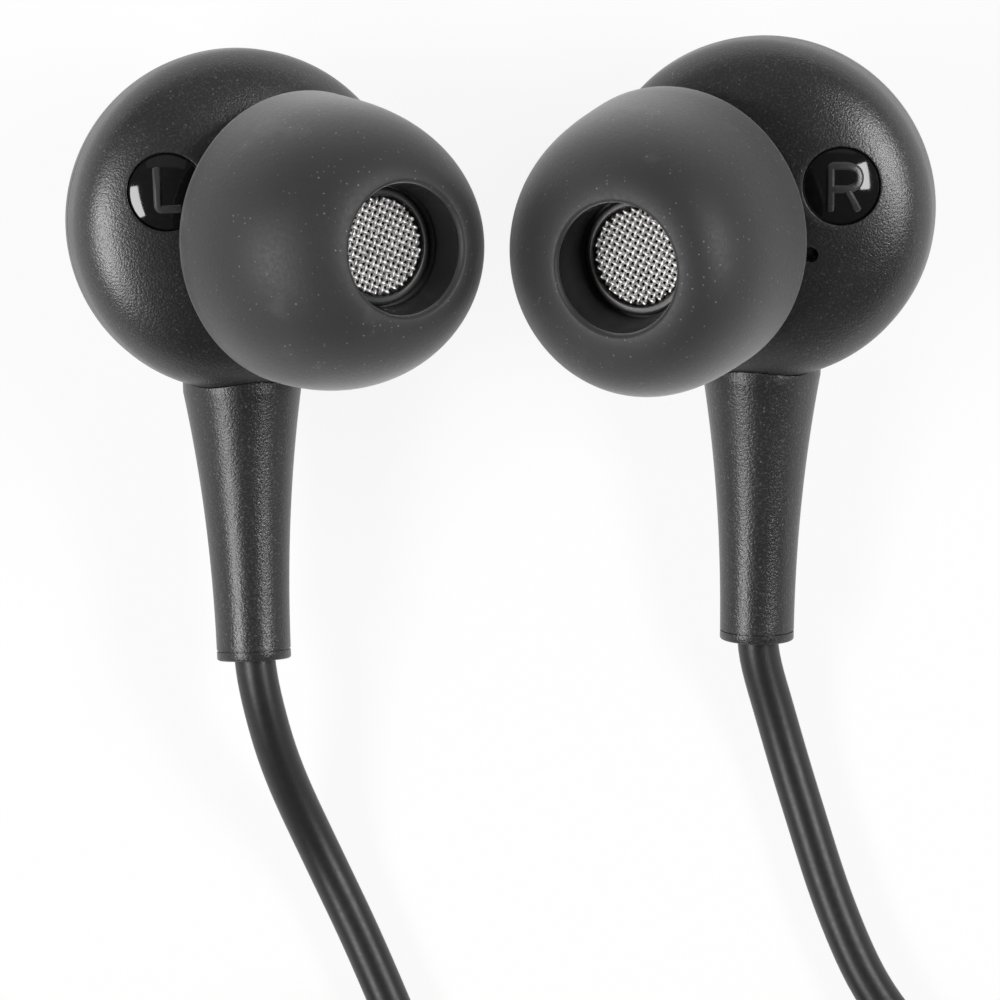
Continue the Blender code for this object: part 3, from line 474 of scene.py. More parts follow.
def earFrame(name):
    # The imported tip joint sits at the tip's middle, which fixes where the tilted earpiece stands
    lie = ears[name]
    turn = turnAbout(lie["roll"]) @ turnAbout(lie["down"], "X") @ turnAbout(lie["side"] * lie["inward"], "Y")
    middle = turn @ nozzleFrame(lie["side"]).translation
    return Matrix.Translation(Vector(joints[name + "_tip_turn"]["pos_m"]) - middle) @ turn


# Front shell: rings spread from the mark's pocket to the rim, round the skirt and back under the dome
frontShell = {"columns": 224, "domeRings": 64, "rimCrowding": 2.2, "innerRings": 14, "pocketEdge": 0.00004,
              "pocketRings": (0.0, 0.3, 0.65, 1.0), "floorRing": 0.6}


def frontShellGrid(side):
    place = np.array(domeFrame(side, mark["inset"], mark["angle"]))
    middle, normal = place[:3, 3], place[:3, 2]
    turn = ringAngles(frontShell["columns"])[:, None]
    around = np.cos(turn) * place[:3, 0] + np.sin(turn) * place[:3, 1]

    def onDome(flat):
        return np.column_stack([flat, domeHeight(np.linalg.norm(flat, axis=1))])

    pocket = mark["radius"] + mark["gap"]
    floor = middle - normal * mark["pocket"]
    edge = frontShell["pocketEdge"]
    rows = [np.broadcast_to(floor, around.shape), floor + frontShell["floorRing"] * pocket * around,
            floor + pocket * around]
    for share in frontShell["pocketRings"]:
        sunk = edge * (1 - share) ** 2 * normal
        rows.append(onDome(middle[:2] + (pocket + edge * share) * around[:, :2]) - sunk)
    inner = rows[-1][:, :2]
    outward = unit(inner - middle[:2])
    lean = outward @ middle[:2]
    reach = -lean + np.sqrt(lean ** 2 - middle[:2] @ middle[:2] + housing["radius"] ** 2)
    rim = middle[:2] + reach[:, None] * outward
    for share in np.linspace(0, 1, frontShell["domeRings"] + 1)[1:]:
        rows.append(onDome(inner + (rim - inner) * (1 - (1 - share) ** frontShell["rimCrowding"])))
    circle = rim / housing["radius"]
    foot, soft = -housing["skirt"], housing["edge"]
    inside = housing["radius"] - housing["wall"]
    wide, near = housing["radius"], soft * housing["edgeMiddle"]
    steps = [(wide, foot * 0.5), (wide, foot + soft), (wide - near, foot + near), (wide - soft, foot),
             (inside, foot)]
    roofHeight = housing["domeHeight"] - housing["wall"]
    roof = ovalArc(inside, roofHeight, housing["domePower"], frontShell["innerRings"])
    for radius, height in [*steps, *roof[::-1]]:
        rows.append(np.column_stack([radius * circle, np.full(len(circle), height)]))
    return np.stack(rows)


def rearShellProfile():
    # Cup between two superellipses, with a lip that plugs into the front shell
    seam = -housing["skirt"] - housing["seam"]
    soft = housing["edge"]
    lipOuter = housing["radius"] - housing["wall"] - housing["fit"]
    lipInner = lipOuter - housing["lipWall"]
    depth = housing["rearDepth"] + seam
    outer = ovalArc(housing["radius"] + housing["rearStep"], depth, housing["rearPower"], 56)[::-1]
    cup = ovalArc(lipInner, depth - housing["wall"], housing["rearPower"], 16)
    lip = [(lipInner, seam + housing["lipHeight"]), (lipOuter, seam + housing["lipHeight"]), (lipOuter, seam)]
    rim, near = outer[0, 0], soft * housing["edgeMiddle"]
    shoulder = [(rim - soft, seam), (rim - near, seam - near), (rim, seam - soft)]
    outer = outer[seam - outer[:, 1] < seam - soft]
    return np.concatenate([np.column_stack([cup[:, 0], seam - cup[:, 1]]), lip, shoulder,
                           np.column_stack([outer[:, 0], seam - outer[:, 1]])])


def stemProfile():
    # Tapers quickly below the housing and then gently, with a fine groove and a rounded lip at the mouth
    end = housing["radius"] + stem["length"]
    share = np.linspace(0, 1, 60)[:-1]
    radius = stem["end"] + (stem["root"] - stem["end"]) * (1 - share) ** stem["power"]
    along = housing["radius"] + stem["length"] * share
    keep = along < end - stem["grooveAt"] - stem["groove"]
    groove, depth = stem["groove"], stem["groove"] * stem["grooveShare"]
    top = end - stem["grooveAt"]
    lip = stem["end"]
    chamfer, near = stem["chamfer"], stem["chamfer"] * stem["chamferMiddle"]
    mouth = [(lip, top - groove / 2), (lip - depth, top - groove / 4), (lip - depth, top + groove / 4),
             (lip, top + groove / 2), (lip, end - chamfer), (lip - near, end - near), (lip - chamfer, end),
             (stem["bore"] + stem["mouthEase"], end), (stem["bore"], end - stem["mouthDrop"])]
    shoulder = end - stem["mouthDepth"] - stem["bushLength"] - stem["shoulderGap"]
    bore = [(stem["bore"], shoulder), (stem["cordBore"], shoulder), (stem["cordBore"], stem["start"])]
    outer = [(stem["root"], stem["start"]), *zip(radius[keep], along[keep]), *mouth, *bore]
    profile = np.array(outer)
    profile[:, 1] *= -1
    return profile


def buildHousing(name):
    side = ears[name]["side"]
    place = earFrame(name)
    front = addMesh(name + "FrontShell", [placed(frontShellGrid(side), place)])
    rear = turnedPiece(name + "RearShell", rearShellProfile(), housing["steps"], place)
    stemPlace = place @ stemFrame(side)
    radius = housing["radius"]
    port = rodCutter("port", stem["spigot"] + cutFit["hole"], -radius / 2, -1.5 * radius,
                     stem["spigotSteps"], stemPlace)
    hole = rodCutter("hole", nozzle["radius"] + cutFit["hole"], nozzle["top"],
                     -nozzle["foot"] - cutFit["overrun"], nozzle["holeSteps"], place @ nozzleFrame(side))
    ventHole = rodCutter("vent", vent["radius"], housing["wall"], -2 * housing["wall"], vent["steps"],
                         place @ domeFrame(side, vent["inset"], vent["angle"]))
    cutAway(front, (hole, ventHole, port))
    cutAway(rear, (port,))
    # The stem's top fits the housing all round, and only its spigot goes in
    grown = cutFit["stem"]
    domeSide = ovalArc(radius + grown, housing["domeHeight"] + grown, housing["domePower"], 48)
    rearDepth = housing["rearDepth"] - housing["skirt"]
    rearSide = ovalArc(radius + housing["rearStep"] + grown, rearDepth, housing["rearPower"], 48)[::-1]
    rearSide = np.column_stack([rearSide[:, 0], -housing["skirt"] - rearSide[:, 1]])
    envelope = turnedPiece("envelope", np.concatenate([domeSide, rearSide]), housing["steps"], place)
    spigot = rodCutter("spigot", stem["spigot"], 0.0, -2 * radius, stem["spigotSteps"], stemPlace)
    cutAway(envelope, (spigot,))
    neck = turnedPiece(name + "Stem", stemProfile(), stem["steps"], stemPlace, loop=True)
    cutAway(neck, (envelope,))
    for cutter in (port, hole, ventHole, envelope, spigot):
        bpy.data.objects.remove(cutter)
    finishPiece(front, "shell", [name + "_front_shell"])
    finishPiece(rear, "shell", [name + "_rear_shell"])
    finishPiece(neck, "stem", [name + "_stem"])
    mouth = -radius - stem["length"] + stem["mouthDepth"]
    top = mouth + stem["bushLength"]
    inner, outer = stem["cordBore"] - bush["grip"], stem["bore"] - bush["fit"]
    ring = softCorners([(inner, top), (outer, top), (outer, mouth), (inner, mouth)], bush["edge"], loop=True)
    ringPiece = turnedPiece(name + "CableBush", ring, bush["steps"], stemPlace, loop=True)
    finishPiece(ringPiece, "rubber", [name + "_cable_bush"])
    return stemPlace


# Nozzle, woven screen and soft ear tip. Heights along the nozzle's axis, from the tip's middle
screen = {"radius": 0.00198, "pitch": 0.00027, "wire": 0.000084, "wave": 0.000050, "height": 0.00369,
          "turn": -25.0, "pointsPerPitch": 7, "sides": 7}
tip = {"radius": 0.00612, "widest": -0.00084, "lipHeight": 0.00612, "lipBore": 0.00273, "lipRound": 0.00020,
       "lipFall": 1.3, "lining": 0.00002, "liningGap": 0.00005, "swayBlend": 0.0007, "skirt": 0.00159,
       "tuck": 0.00028, "wall": 0.00055, "rimRound": 0.00022, "rimDepth": 0.0003, "flareStop": 0.00012,
       "sidePower": 1.22, "crownPower": 0.65, "sleeveWall": 0.0006, "sleeveEnd": -0.0008,
       "sleeveBore": 0.00252, "sleeveTop": 0.0040, "throat": 0.0004, "throatFlare": 0.00006,
       "throatStep": 0.0003, "crownEnd": 89.0, "roofEnd": 62.0, "steps": 192}
# Sideways lean in metres along the table's x and y
tipSway = {"left": {"base": (-0.00045, 0.00020), "middle": (-0.00034, -0.00009), "lip": (-0.00014, -0.00009)},
           "right": {"base": (-0.00070, 0.00034), "middle": (-0.00027, -0.00019), "lip": (0.00014, -0.00020)}}


def screenGrids(place):
    # Plain weave: each wire rises over one neighbour and dips under the next, a cosine over two pitches
    pitch = screen["pitch"]
    count = int(screen["radius"] / pitch)
    order = np.arange(-count, count + 1)
    half = np.sqrt(screen["radius"] ** 2 - (order * pitch) ** 2)
    share = np.linspace(-1, 1, 2 * count * screen["pointsPerPitch"])
    run = half[:, None] * share
    offset = np.broadcast_to((order * pitch)[:, None], run.shape)
    wave = screen["wave"] * np.cos(np.pi * run / pitch + np.pi * order[:, None])
    place = place @ Matrix.Translation((0.0, 0.0, screen["height"])) @ turnAbout(screen["turn"])
    wires = [*np.stack([offset, run, wave], axis=-1), *np.stack([run, offset, -wave], axis=-1)]
    return [placed(tubeGrid(path, screen["wire"], screen["sides"]), place) for path in wires]


def boreWall():
    # Bore from the nozzle's top, through a slight flare, to just below the lip
    throat = nozzle["top"] + tip["throat"]
    mouth = tip["lipHeight"] - tip["lipFall"] * tip["lipRound"]
    return [(tip["sleeveBore"], throat), (tip["sleeveBore"] + tip["throatFlare"], throat + tip["throatStep"]),
            (tip["lipBore"], mouth - tip["throatStep"])], mouth


def tipProfile():
    # Outside: radius falls from the widest point to the lip as a cosine power, height rises as a sine power
    root = tip["lipBore"] + tip["lipRound"]
    rise = tip["lipHeight"] - tip["widest"]
    angle = np.radians(np.linspace(tip["crownEnd"], 0, 56))
    outer = np.column_stack([root + (tip["radius"] - root) * np.cos(angle) ** tip["sidePower"],
                             tip["widest"] + rise * np.sin(angle) ** tip["crownPower"]])
    turn = np.radians(np.linspace(90, 0, 10))
    lip = np.column_stack([root - tip["lipRound"] * np.sin(turn),
                           tip["lipHeight"] - tip["lipFall"] * tip["lipRound"] * (1 - np.cos(turn))])
    fall = np.linspace(0, 1, 9)[1:-1]
    flare = np.column_stack([tip["radius"] - tip["tuck"] * fall ** 2,
                             tip["widest"] - (tip["skirt"] + tip["widest"] - tip["flareStop"]) * fall])
    edge = tip["radius"] - tip["tuck"]
    rim = softCorners([flare[-1], (edge, -tip["skirt"]), (edge - tip["wall"], -tip["skirt"]),
                       (edge - tip["wall"], -tip["skirt"] + tip["rimDepth"])], tip["rimRound"], 5)[1:-1]
    inside = np.radians(np.linspace(0, tip["roofEnd"], 16))
    inner = np.column_stack([root + (tip["radius"] - root) * np.cos(inside) ** tip["sidePower"] - tip["wall"],
                             tip["widest"] + (rise - 2 * tip["wall"]) * np.sin(inside) ** tip["crownPower"]])
    sleeve = tip["sleeveBore"] + tip["sleeveWall"]
    bore = [(sleeve, inner[-1, 1] - tip["wall"] / 2), (sleeve, tip["sleeveEnd"]),
            (tip["sleeveBore"], tip["sleeveEnd"]), *boreWall()[0]]
    return np.concatenate([lip, outer, flare, rim, inner, bore])


def boreProfile():
    # A thin smooth lining that follows the bore, coloured near black as painted shade for the inside of the
    # bore
    steps, mouth = boreWall()
    foot = (tip["sleeveBore"], nozzle["top"] + tip["liningGap"])
    wall = np.array([foot, *steps, (tip["lipBore"], mouth)])
    back, face = wall + (tip["lining"], 0.0), wall - (tip["lining"], 0.0)
    return np.concatenate([face, back[::-1]])


def tipPoints(profile, name, place):
    # Soft lean: skirt and lip sit a little to one side or the other, while the sleeve stays on the nozzle
    local = lathe(profile, tip["steps"])
    points = placed(local, place)
    rise = np.clip((local[..., 2:] - tip["widest"]) / (tip["lipHeight"] - tip["widest"]), 0, 1)
    reach = np.hypot(local[..., :1], local[..., 1:2]) - tip["sleeveBore"] - tip["sleeveWall"]
    outside = np.clip(reach / tip["swayBlend"], 0, 1)
    loose = np.maximum(outside, np.clip((local[..., 2:] - tip["sleeveTop"]) / tip["swayBlend"], 0, 1))
    base, middle, lip = (np.array(tipSway[name][level]) for level in ("base", "middle", "lip"))
    points[..., :2] += loose * (base + (lip - base) * rise) + outside * middle * 4 * rise * (1 - rise)
    return points


def buildTip(name):
    side = ears[name]["side"]
    place = earFrame(name) @ nozzleFrame(side)
    bead = nozzle["radius"] + nozzle["bead"]
    bore = nozzle["radius"] - nozzle["wall"]
    beadEnd = nozzle["top"] - nozzle["beadLength"]
    wide, narrow = bore + nozzle["seatStep"], bore - nozzle["seatStep"]
    seat = screen["height"] - nozzle["seatDrop"]
    radius, top, foot = nozzle["radius"], nozzle["top"], -nozzle["foot"]
    section = [(wide, top), (radius, top), (bead, top - nozzle["bead"]), (bead, beadEnd),
               (radius, beadEnd - nozzle["bead"]), (radius, foot), (narrow, foot), (narrow, seat),
               (wide, seat)]
    section = softCorners(section, nozzle["edge"], loop=True)
    pipe = turnedPiece(name + "Nozzle", section, nozzle["steps"], place, loop=True)
    finishPiece(pipe, "nozzle", [name + "_nozzle"])
    weave = addMesh(name + "NozzleScreen", screenGrids(place), sharpDegrees=60.0)
    finishPiece(weave, "steel", [name + "_nozzle_mesh"])
    cap = addMesh(name + "EarTip", [tipPoints(tipProfile(), name, place)], 50.0, loop=True)
    finishPiece(cap, "silicone", [name + "_ear_tip"], name + "_tip")
    # A thin dark lining over the bore's wall paints the shade inside the bore
    lining = addMesh(name + "TipBorePaintedShade", [tipPoints(boreProfile(), name, place)], 50.0, loop=True)
    finishPiece(lining, "bore", [], name + "_tip")


# Side mark: a glossy domed disc let into the shell, with its raised letter
millimetre = 0.001
letters = {  # strokes in millimetres from the disc's middle
    "left": [[(-0.41, 1.08), (-0.41, -0.72), (0.62, -0.72)]],
    "right": [[(-0.46, -1.08), (-0.46, 0.86), (0.32, 0.86), (0.68, 0.70), (0.78, 0.38), (0.68, 0.06),
               (0.32, -0.10), (-0.46, -0.10)], [(0.20, -0.10), (0.74, -1.06)]],
}
letterSize = {"width": 0.00034, "height": 0.00009, "corner": 0.00018, "endShare": 0.24, "spacing": 0.00004,
              "leastPoints": 12, "bevel": 0.16}


def discHeight(radius):
    # A parabola that rolls over at the edge, like a drop of resin
    share = np.clip(radius / mark["radius"], 0, 1)
    roll = np.clip((radius - mark["radius"] + mark["edge"]) / mark["edge"], 0, 1)
    fall = mark["edge"] * mark["roll"] * (1 - np.sqrt(1 - np.clip(roll, 0, mark["rollStop"]) ** 2))
    return mark["rise"] - mark["crown"] * share ** 2 - fall


def letterGrid(stroke, place):
    # A low bar along the stroke: flat top and bevelled sides across it, following the disc's surface
    path = np.asarray(stroke, dtype=float) * millimetre
    if len(path) > 2:
        path = softCorners(path, letterSize["corner"], 7)
    length = travelled(path)
    count = max(letterSize["leastPoints"], int(length[-1] / letterSize["spacing"]))
    even = np.linspace(0, length[-1], count)
    path = pointsAt(path, length, even)
    tangent = unit(np.gradient(path, axis=0))
    across = np.column_stack([-tangent[:, 1], tangent[:, 0]])
    bar = [(-1.0, -0.6), (-1.0, 0.1), (-0.55, 1.0), (0.55, 1.0), (1.0, 0.1), (1.0, -0.6)]
    section = softCorners(bar, letterSize["bevel"], loop=True)
    # The ends close over a short part of the width, as a bevelled stroke end
    toEnd = np.minimum(even, length[-1] - even) / (letterSize["width"] * letterSize["endShare"])
    narrow = np.sqrt(np.clip(toEnd, 0, 1))
    wide = narrow[:, None] * letterSize["width"] / 2 * section[:, 0]
    flat = path[:, None] + wide[..., None] * across[:, None]
    base = discHeight(np.linalg.norm(flat, axis=-1))
    height = base + narrow[:, None] * letterSize["height"] * section[:, 1]
    return placed(np.concatenate([flat, height[..., None]], axis=-1), place)


def buildMark(name):
    side = ears[name]["side"]
    place = earFrame(name) @ domeFrame(side, mark["inset"], mark["angle"])
    radius = np.concatenate([np.linspace(0, mark["radius"] - mark["edge"], 14),
                             mark["radius"] - mark["edge"] * (1 - np.linspace(0, 1, 12)[1:])])
    foot = mark["floorGap"] - mark["pocket"]
    profile = [*zip(radius, discHeight(radius)), (mark["radius"], foot), (0.0, foot)]
    disc = turnedPiece(name + "SideMark", profile, mark["steps"], place)
    finishPiece(disc, "mark", [name + "_side_mark"])
    # The letter stands upright: its local Y follows the earpiece's own up direction
    normal = place.to_3x3().col[2].normalized()
    upward = earFrame(name).to_3x3().col[1]
    upward = (upward - normal * upward.dot(normal)).normalized()
    across = upward.cross(normal)
    upright = Matrix.Translation(place.translation) @ Matrix((across, upward, normal)).transposed().to_4x4()
    strokes = addMesh(name + "Letter", [letterGrid(stroke, upright) for stroke in letters[name]], 60.0)
    finishPiece(strokes, "letter", [])


stemPlaces = {}
for earName in ears:
    stemPlaces[earName] = buildHousing(earName)
    buildTip(earName)
    buildMark(earName)
    print(earName, "earpiece made")

# Cords: ear cord runs from its stem to a tied coil and on to the Y splitter, main cord from there to the plug
earCord = {"diameter": 0.0017, "inside": 0.00025, "straight": 0.0004, "spare": 0.00075,
           "middleRadius": 0.0085}
mainCord = {"diameter": 0.0020, "spare": 0.00085, "middleRadius": 0.0115}
# "spacing" is the distance between a cord's points, as a share of its diameter
coil = {"lift": 0.00045, "climb": 0.5, "pointsPerTurn": 72, "spacing": 0.3, "sides": 18}
tie = {"thickness": 0.0003, "breadth": 0.0026, "slack": 0.00025, "degrees": 135.0, "corner": 0.0011,
       "edgeShare": 0.9}
splitter = {"top": -0.0560, "length": 0.0082, "inlet": 0.0062, "outlet": 0.0038, "height": 0.0040,
            "spacing": 0.0026, "power": 3.2, "round": 0.0011, "endShrink": 0.55, "steps": 72}
plug = {"foot": (0.0155, -0.0908), "relief": 0.0080, "reliefRadius": 0.0019, "reliefWall": 0.00012, "ribs": 7,
        "ribDepth": 0.00014, "ribFade": (0.0006, 0.0012), "leastWall": 0.00004, "grip": 0.0130,
        "gripRadius": 0.00275, "gripEdge": 0.0004, "pin": 0.00175, "sleeve": 0.0063, "seat": 0.0010,
        "ring": 0.0022, "insulator": 0.0007, "pointLength": 0.0040, "gap": 0.00006, "pinEdge": 0.00007,
        "socketEdges": (0.00005, 0.00008), "steps": 72, "gripSteps": 96}
groove = {"count": 5, "first": 0.0030, "pitch": 0.0009, "depth": 0.00012, "half": 0.00018, "floor": 0.00006}
point = {"nose": 0.00055, "belly": (0.00166, 0.0021), "waist": (0.00126, 0.0011), "shoulder": 0.0005,
         "rounds": (0.0004, 0.0006, 0.0004, 0.0001)}
endGap = 0.0003
cordRuns = {
    "left": {
        "centre": (-0.0121, -0.0401), "turns": 2.25, "way": -1, "degrees": 0.0,
        "route": [(-0.01001, -0.01410, 0.00390), (-0.00954, -0.01608, 0.00330), (-0.00879, -0.01816, 0.00235),
                  (-0.00781, -0.02025, 0.00145), (-0.00682, -0.02235, 0.00098), (-0.00575, -0.02460, 0.00094),
                  (-0.00355, -0.02980, 0.00096), (-0.00185, -0.03450, 0.00115)],
        "tail": [(-0.00105, -0.0458, 0.0031), (-0.00125, -0.0502, 0.0024)]},
    "right": {
        "centre": (0.0121, -0.0401), "turns": 2.375, "way": -1, "degrees": 0.0,
        "route": [(0.01091, -0.01335, 0.00182), (0.01142, -0.01504, 0.00138), (0.01201, -0.01713, 0.00102),
                  (0.01266, -0.01922, 0.00095), (0.01330, -0.02130, 0.00095), (0.01402, -0.02339, 0.00095),
                  (0.01570, -0.02700, 0.00095), (0.01880, -0.03060, 0.00096), (0.02190, -0.03440, 0.00115)],
        "tail": [(0.0066, -0.0513, 0.0033), (0.0037, -0.0521, 0.0028), (0.0019, -0.0536, 0.0023)]},
    "main": {
        "centre": (-0.0060, -0.0879), "turns": 4.5, "way": 1, "degrees": 90.0,
        "route": [(-0.00012, -0.0668, 0.0018), (-0.0011, -0.0692, 0.0016)],
        "tail": [(-0.0006, -0.10545, 0.0038), (0.0034, -0.1046, 0.0036), (0.0082, -0.1022, 0.0033),
                 (0.0123, -0.0989, 0.0030), (0.0148, -0.0950, 0.0028)]},
}


def smoothRoute(knots, steps=12):
    # Catmull-Rom curve through the knots
    knots = np.asarray(knots, dtype=float)
    knots = np.concatenate([[2 * knots[0] - knots[1]], knots, [2 * knots[-1] - knots[-2]]])
    before, start, end, after = (knots[i:len(knots) - 3 + i, None] for i in range(4))
    t = np.linspace(0, 1, steps, endpoint=False)[None, :, None]
    pull = (end - before) * t + (2 * before - 5 * start + 4 * end - after) * t ** 2
    curve = start + 0.5 * (pull + (3 * start - before - 3 * end + after) * t ** 3)
    return np.concatenate([curve.reshape(-1, 3), knots[-2:-1]])


def coilPath(run, middleRadius, pitch, diameter):
    # Two layers: the spiral winds in along the lower, climbs in half a turn and winds out along the upper
    centre, turns, way = run["centre"], run["turns"], run["way"]
    total = 2 * turns + coil["climb"]
    turn = np.linspace(0, total, round(total * coil["pointsPerTurn"]) + 1)
    climb = np.clip((turn - turns) / coil["climb"], 0, 1)
    grow = np.maximum(np.maximum(turns - turn, turn - turns - coil["climb"]), 0)
    radius = middleRadius - pitch * turns / 2 + pitch * grow
    angle = math.radians(run["degrees"]) + way * 2 * np.pi * turn
    height = coil["lift"] + diameter / 2 + pitch * climb ** 2 * (3 - 2 * climb)
    path = np.column_stack([centre[0] + radius * np.cos(angle), centre[1] + radius * np.sin(angle), height])
    ends = angle[[0, -1]]
    lead = np.column_stack([-np.sin(ends), np.cos(ends), np.zeros(2)]) * way * (diameter + endGap)
    return path, path[0] - lead[0], path[-1] + lead[1]


def evenPath(points, spacing, passes=2):
    # Even spacing along the path, then a short running mean that leaves the two ends where they are
    length = travelled(points)
    path = pointsAt(points, length, np.linspace(0, length[-1], round(length[-1] / spacing) + 1))
    for _ in range(passes):
        path[2:-2] = (path[:-4] + path[1:-3] + path[2:-2] + path[3:-1] + path[4:]) / 5
    return path


def buildTie(name, centre, inner, outer, top):
    # A flat strap: rounded rectangle round the loops, times a rounded strip across its breadth
    low = (inner - tie["slack"] - tie["thickness"] / 2, tie["thickness"] / 2)
    high = (outer + tie["slack"] + tie["thickness"] / 2, top + tie["slack"] + tie["thickness"] / 2)
    frameCorners = [low, (high[0], low[1]), high, (low[0], high[1])]
    loop = softCorners(frameCorners, tie["corner"], 9, loop=True)
    tangent = unit(np.roll(loop, -1, axis=0) - np.roll(loop, 1, axis=0))
    normal = np.column_stack([tangent[:, 1], -tangent[:, 0]])
    half, thin = tie["breadth"] / 2, tie["thickness"] / 2
    strip = softCorners([(-half, -thin), (half, -thin), (half, thin), (-half, thin)], thin * tie["edgeShare"],
                        loop=True)
    flat = loop[:, None] + strip[None, :, 1:] * normal[:, None]
    along = np.broadcast_to(strip[None, :, :1], (len(loop), len(strip), 1))
    grid = np.concatenate([flat[..., :1], along, flat[..., 1:]], axis=-1)
    place = Matrix.Translation((*centre, 0.0)) @ turnAbout(tie["degrees"])
    strap = addMesh(name + "Tie", [placed(grid, place)], loop=True)
    return finishPiece(strap, "tie", [name + "_cord_coil_tie"])


def buildCord(name, start, size, end):
    # One unbroken tube: the route to the coil, the coil and a tail to the end
    run = cordRuns[name]
    diameter, middle = size["diameter"], size["middleRadius"]
    pitch = diameter + size["spare"]
    wound, entry, leave = coilPath(run, middle, pitch, diameter)
    lead = smoothRoute([*start, *run["route"], entry])
    tail = smoothRoute([leave, *run["tail"], end])
    path = evenPath(np.concatenate([lead, wound, tail]), diameter * coil["spacing"])
    piece = addMesh(name + "Cord", [tubeGrid(path, diameter / 2, coil["sides"])], sharpDegrees=70.0)
    prefix = name + "_cord"
    finishPiece(piece, "cord", [prefix, prefix + "_coil", prefix + "_tail"])
    half = (pitch * run["turns"] + diameter) / 2
    strap = buildTie(name, run["centre"], middle - half, middle + half, coil["lift"] + diameter + pitch)
    length = float(np.linalg.norm(np.diff(path, axis=0), axis=1).sum())
    print(name, "cord length", round(length, 4))
    return piece, path, length, strap


def buildSplitter():
    # Oval sections along the splitter, wide at the inlets and narrow at the outlet, shrunk to round its ends
    long, soft = splitter["length"], splitter["round"]
    along = np.concatenate([np.linspace(0, soft, 10), np.linspace(soft, long - soft, 26)[1:-1],
                            np.linspace(long - soft, long, 10)])
    share = along / long
    ease = share ** 2 * (3 - 2 * share)
    width = splitter["inlet"] + (splitter["outlet"] - splitter["inlet"]) * ease
    toEnd = np.minimum(along, long - along) / soft
    bend = np.sqrt(np.clip(1 - (1 - np.clip(toEnd, 0, 1)) ** 2, 0, 1))
    inset = soft * splitter["endShrink"] * (1 - bend)
    angle = ringAngles(splitter["steps"])
    power = 2 / splitter["power"]
    crossX = np.sign(np.cos(angle)) * np.abs(np.cos(angle)) ** power
    crossZ = np.sign(np.sin(angle)) * np.abs(np.sin(angle)) ** power
    x = (width / 2 - inset)[:, None] * crossX
    z = (splitter["height"] / 2 - inset)[:, None] * crossZ + splitter["height"] / 2
    y = np.broadcast_to(splitter["top"] - along[:, None], x.shape)
    grid = np.stack([x, y, z], axis=-1)
    middles = grid.mean(axis=1, keepdims=True)
    grid = np.concatenate([np.broadcast_to(middles[:1], grid[:1].shape), grid,
                           np.broadcast_to(middles[-1:], grid[-1:].shape)])
    return finishPiece(addMesh("ySplitter", [grid]), "shell", ["y_splitter"])


def buildPlug():
    place = axisFrame((*plug["foot"], plug["gripRadius"]), (0.0, 1.0, 0.0))
    pieces = []

    def addTurned(name, profile, finish, node, steps=plug["steps"]):
        piece = turnedPiece(name, profile, steps, place)
        pieces.append(finishPiece(piece, finish, [node]))

    # Strain relief: a cone with rounded ribs, a cosine along its length
    along = np.linspace(0, plug["relief"], 90)
    cordRadius = mainCord["diameter"] / 2
    narrow = cordRadius + plug["reliefWall"]
    taper = narrow + (plug["reliefRadius"] - narrow) * along / plug["relief"]
    rib = plug["ribDepth"] * (np.cos(2 * np.pi * plug["ribs"] * along / plug["relief"]) - 1)
    footFade, topFade = plug["ribFade"]
    rib *= np.clip((plug["relief"] - along) / topFade, 0, 1) * np.clip(along / footFade, 0, 1)
    radius = np.maximum(taper + rib, cordRadius + plug["leastWall"])
    relief = [(0, plug["relief"]), *np.column_stack([radius, along])[::-1], (0, 0)]
    addTurned("plugRelief", relief, "rubber", "plug_relief")
    foot = plug["relief"] + plug["gap"]
    top = foot + plug["grip"]
    seat = top - plug["seat"]
    wide, socket = plug["gripRadius"], plug["pin"] + plug["gap"]
    deep = wide - groove["depth"]
    grooves = []
    for i in range(groove["count"]):
        level = top - groove["first"] - groove["pitch"] * i
        grooves += [(wide, level + groove["half"]), (deep, level + groove["floor"]),
                    (deep, level - groove["floor"]), (wide, level - groove["half"])]
    grip = [(0, seat), (socket, seat), (socket, top), (wide, top), *grooves, (wide, foot), (0, foot)]
    edge = plug["gripEdge"]
    radii = [0, *plug["socketEdges"], edge, *([groove["floor"]] * len(grooves)), edge, 0]
    addTurned("plugGrip", softCorners(grip, radii, 6), "shell", "plug_grip", plug["gripSteps"])
    foot = seat + plug["gap"]
    stack = [("plugSleeve", plug["seat"] + plug["sleeve"], "chrome", "plug_sleeve"),
             ("plugRearInsulator", plug["insulator"], "rubber", "plug_rear_insulator"),
             ("plugRing", plug["ring"], "chrome", "plug_ring"),
             ("plugFrontInsulator", plug["insulator"], "rubber", "plug_front_insulator")]
    for name, length, finish, node in stack:
        section = [(0, foot + length), (plug["pin"], foot + length), (plug["pin"], foot), (0, foot)]
        addTurned(name, softCorners(section, [0, plug["pinEdge"], plug["pinEdge"], 0], 5), finish, node)
        foot += length + plug["gap"]
    # The standard point: a blunt nose, a belly and the waist that the socket's spring holds
    top = foot + plug["pointLength"]
    belly, waist = point["belly"], point["waist"]
    section = [(0, top), (point["nose"], top), (belly[0], foot + belly[1]), (waist[0], foot + waist[1]),
               (plug["pin"], foot + point["shoulder"]), (plug["pin"], foot), (0, foot)]
    radii = [0, *point["rounds"], plug["pinEdge"], 0]
    addTurned("plugTip", softCorners(section, radii, 7), "chrome", "plug_tip")
    return pieces


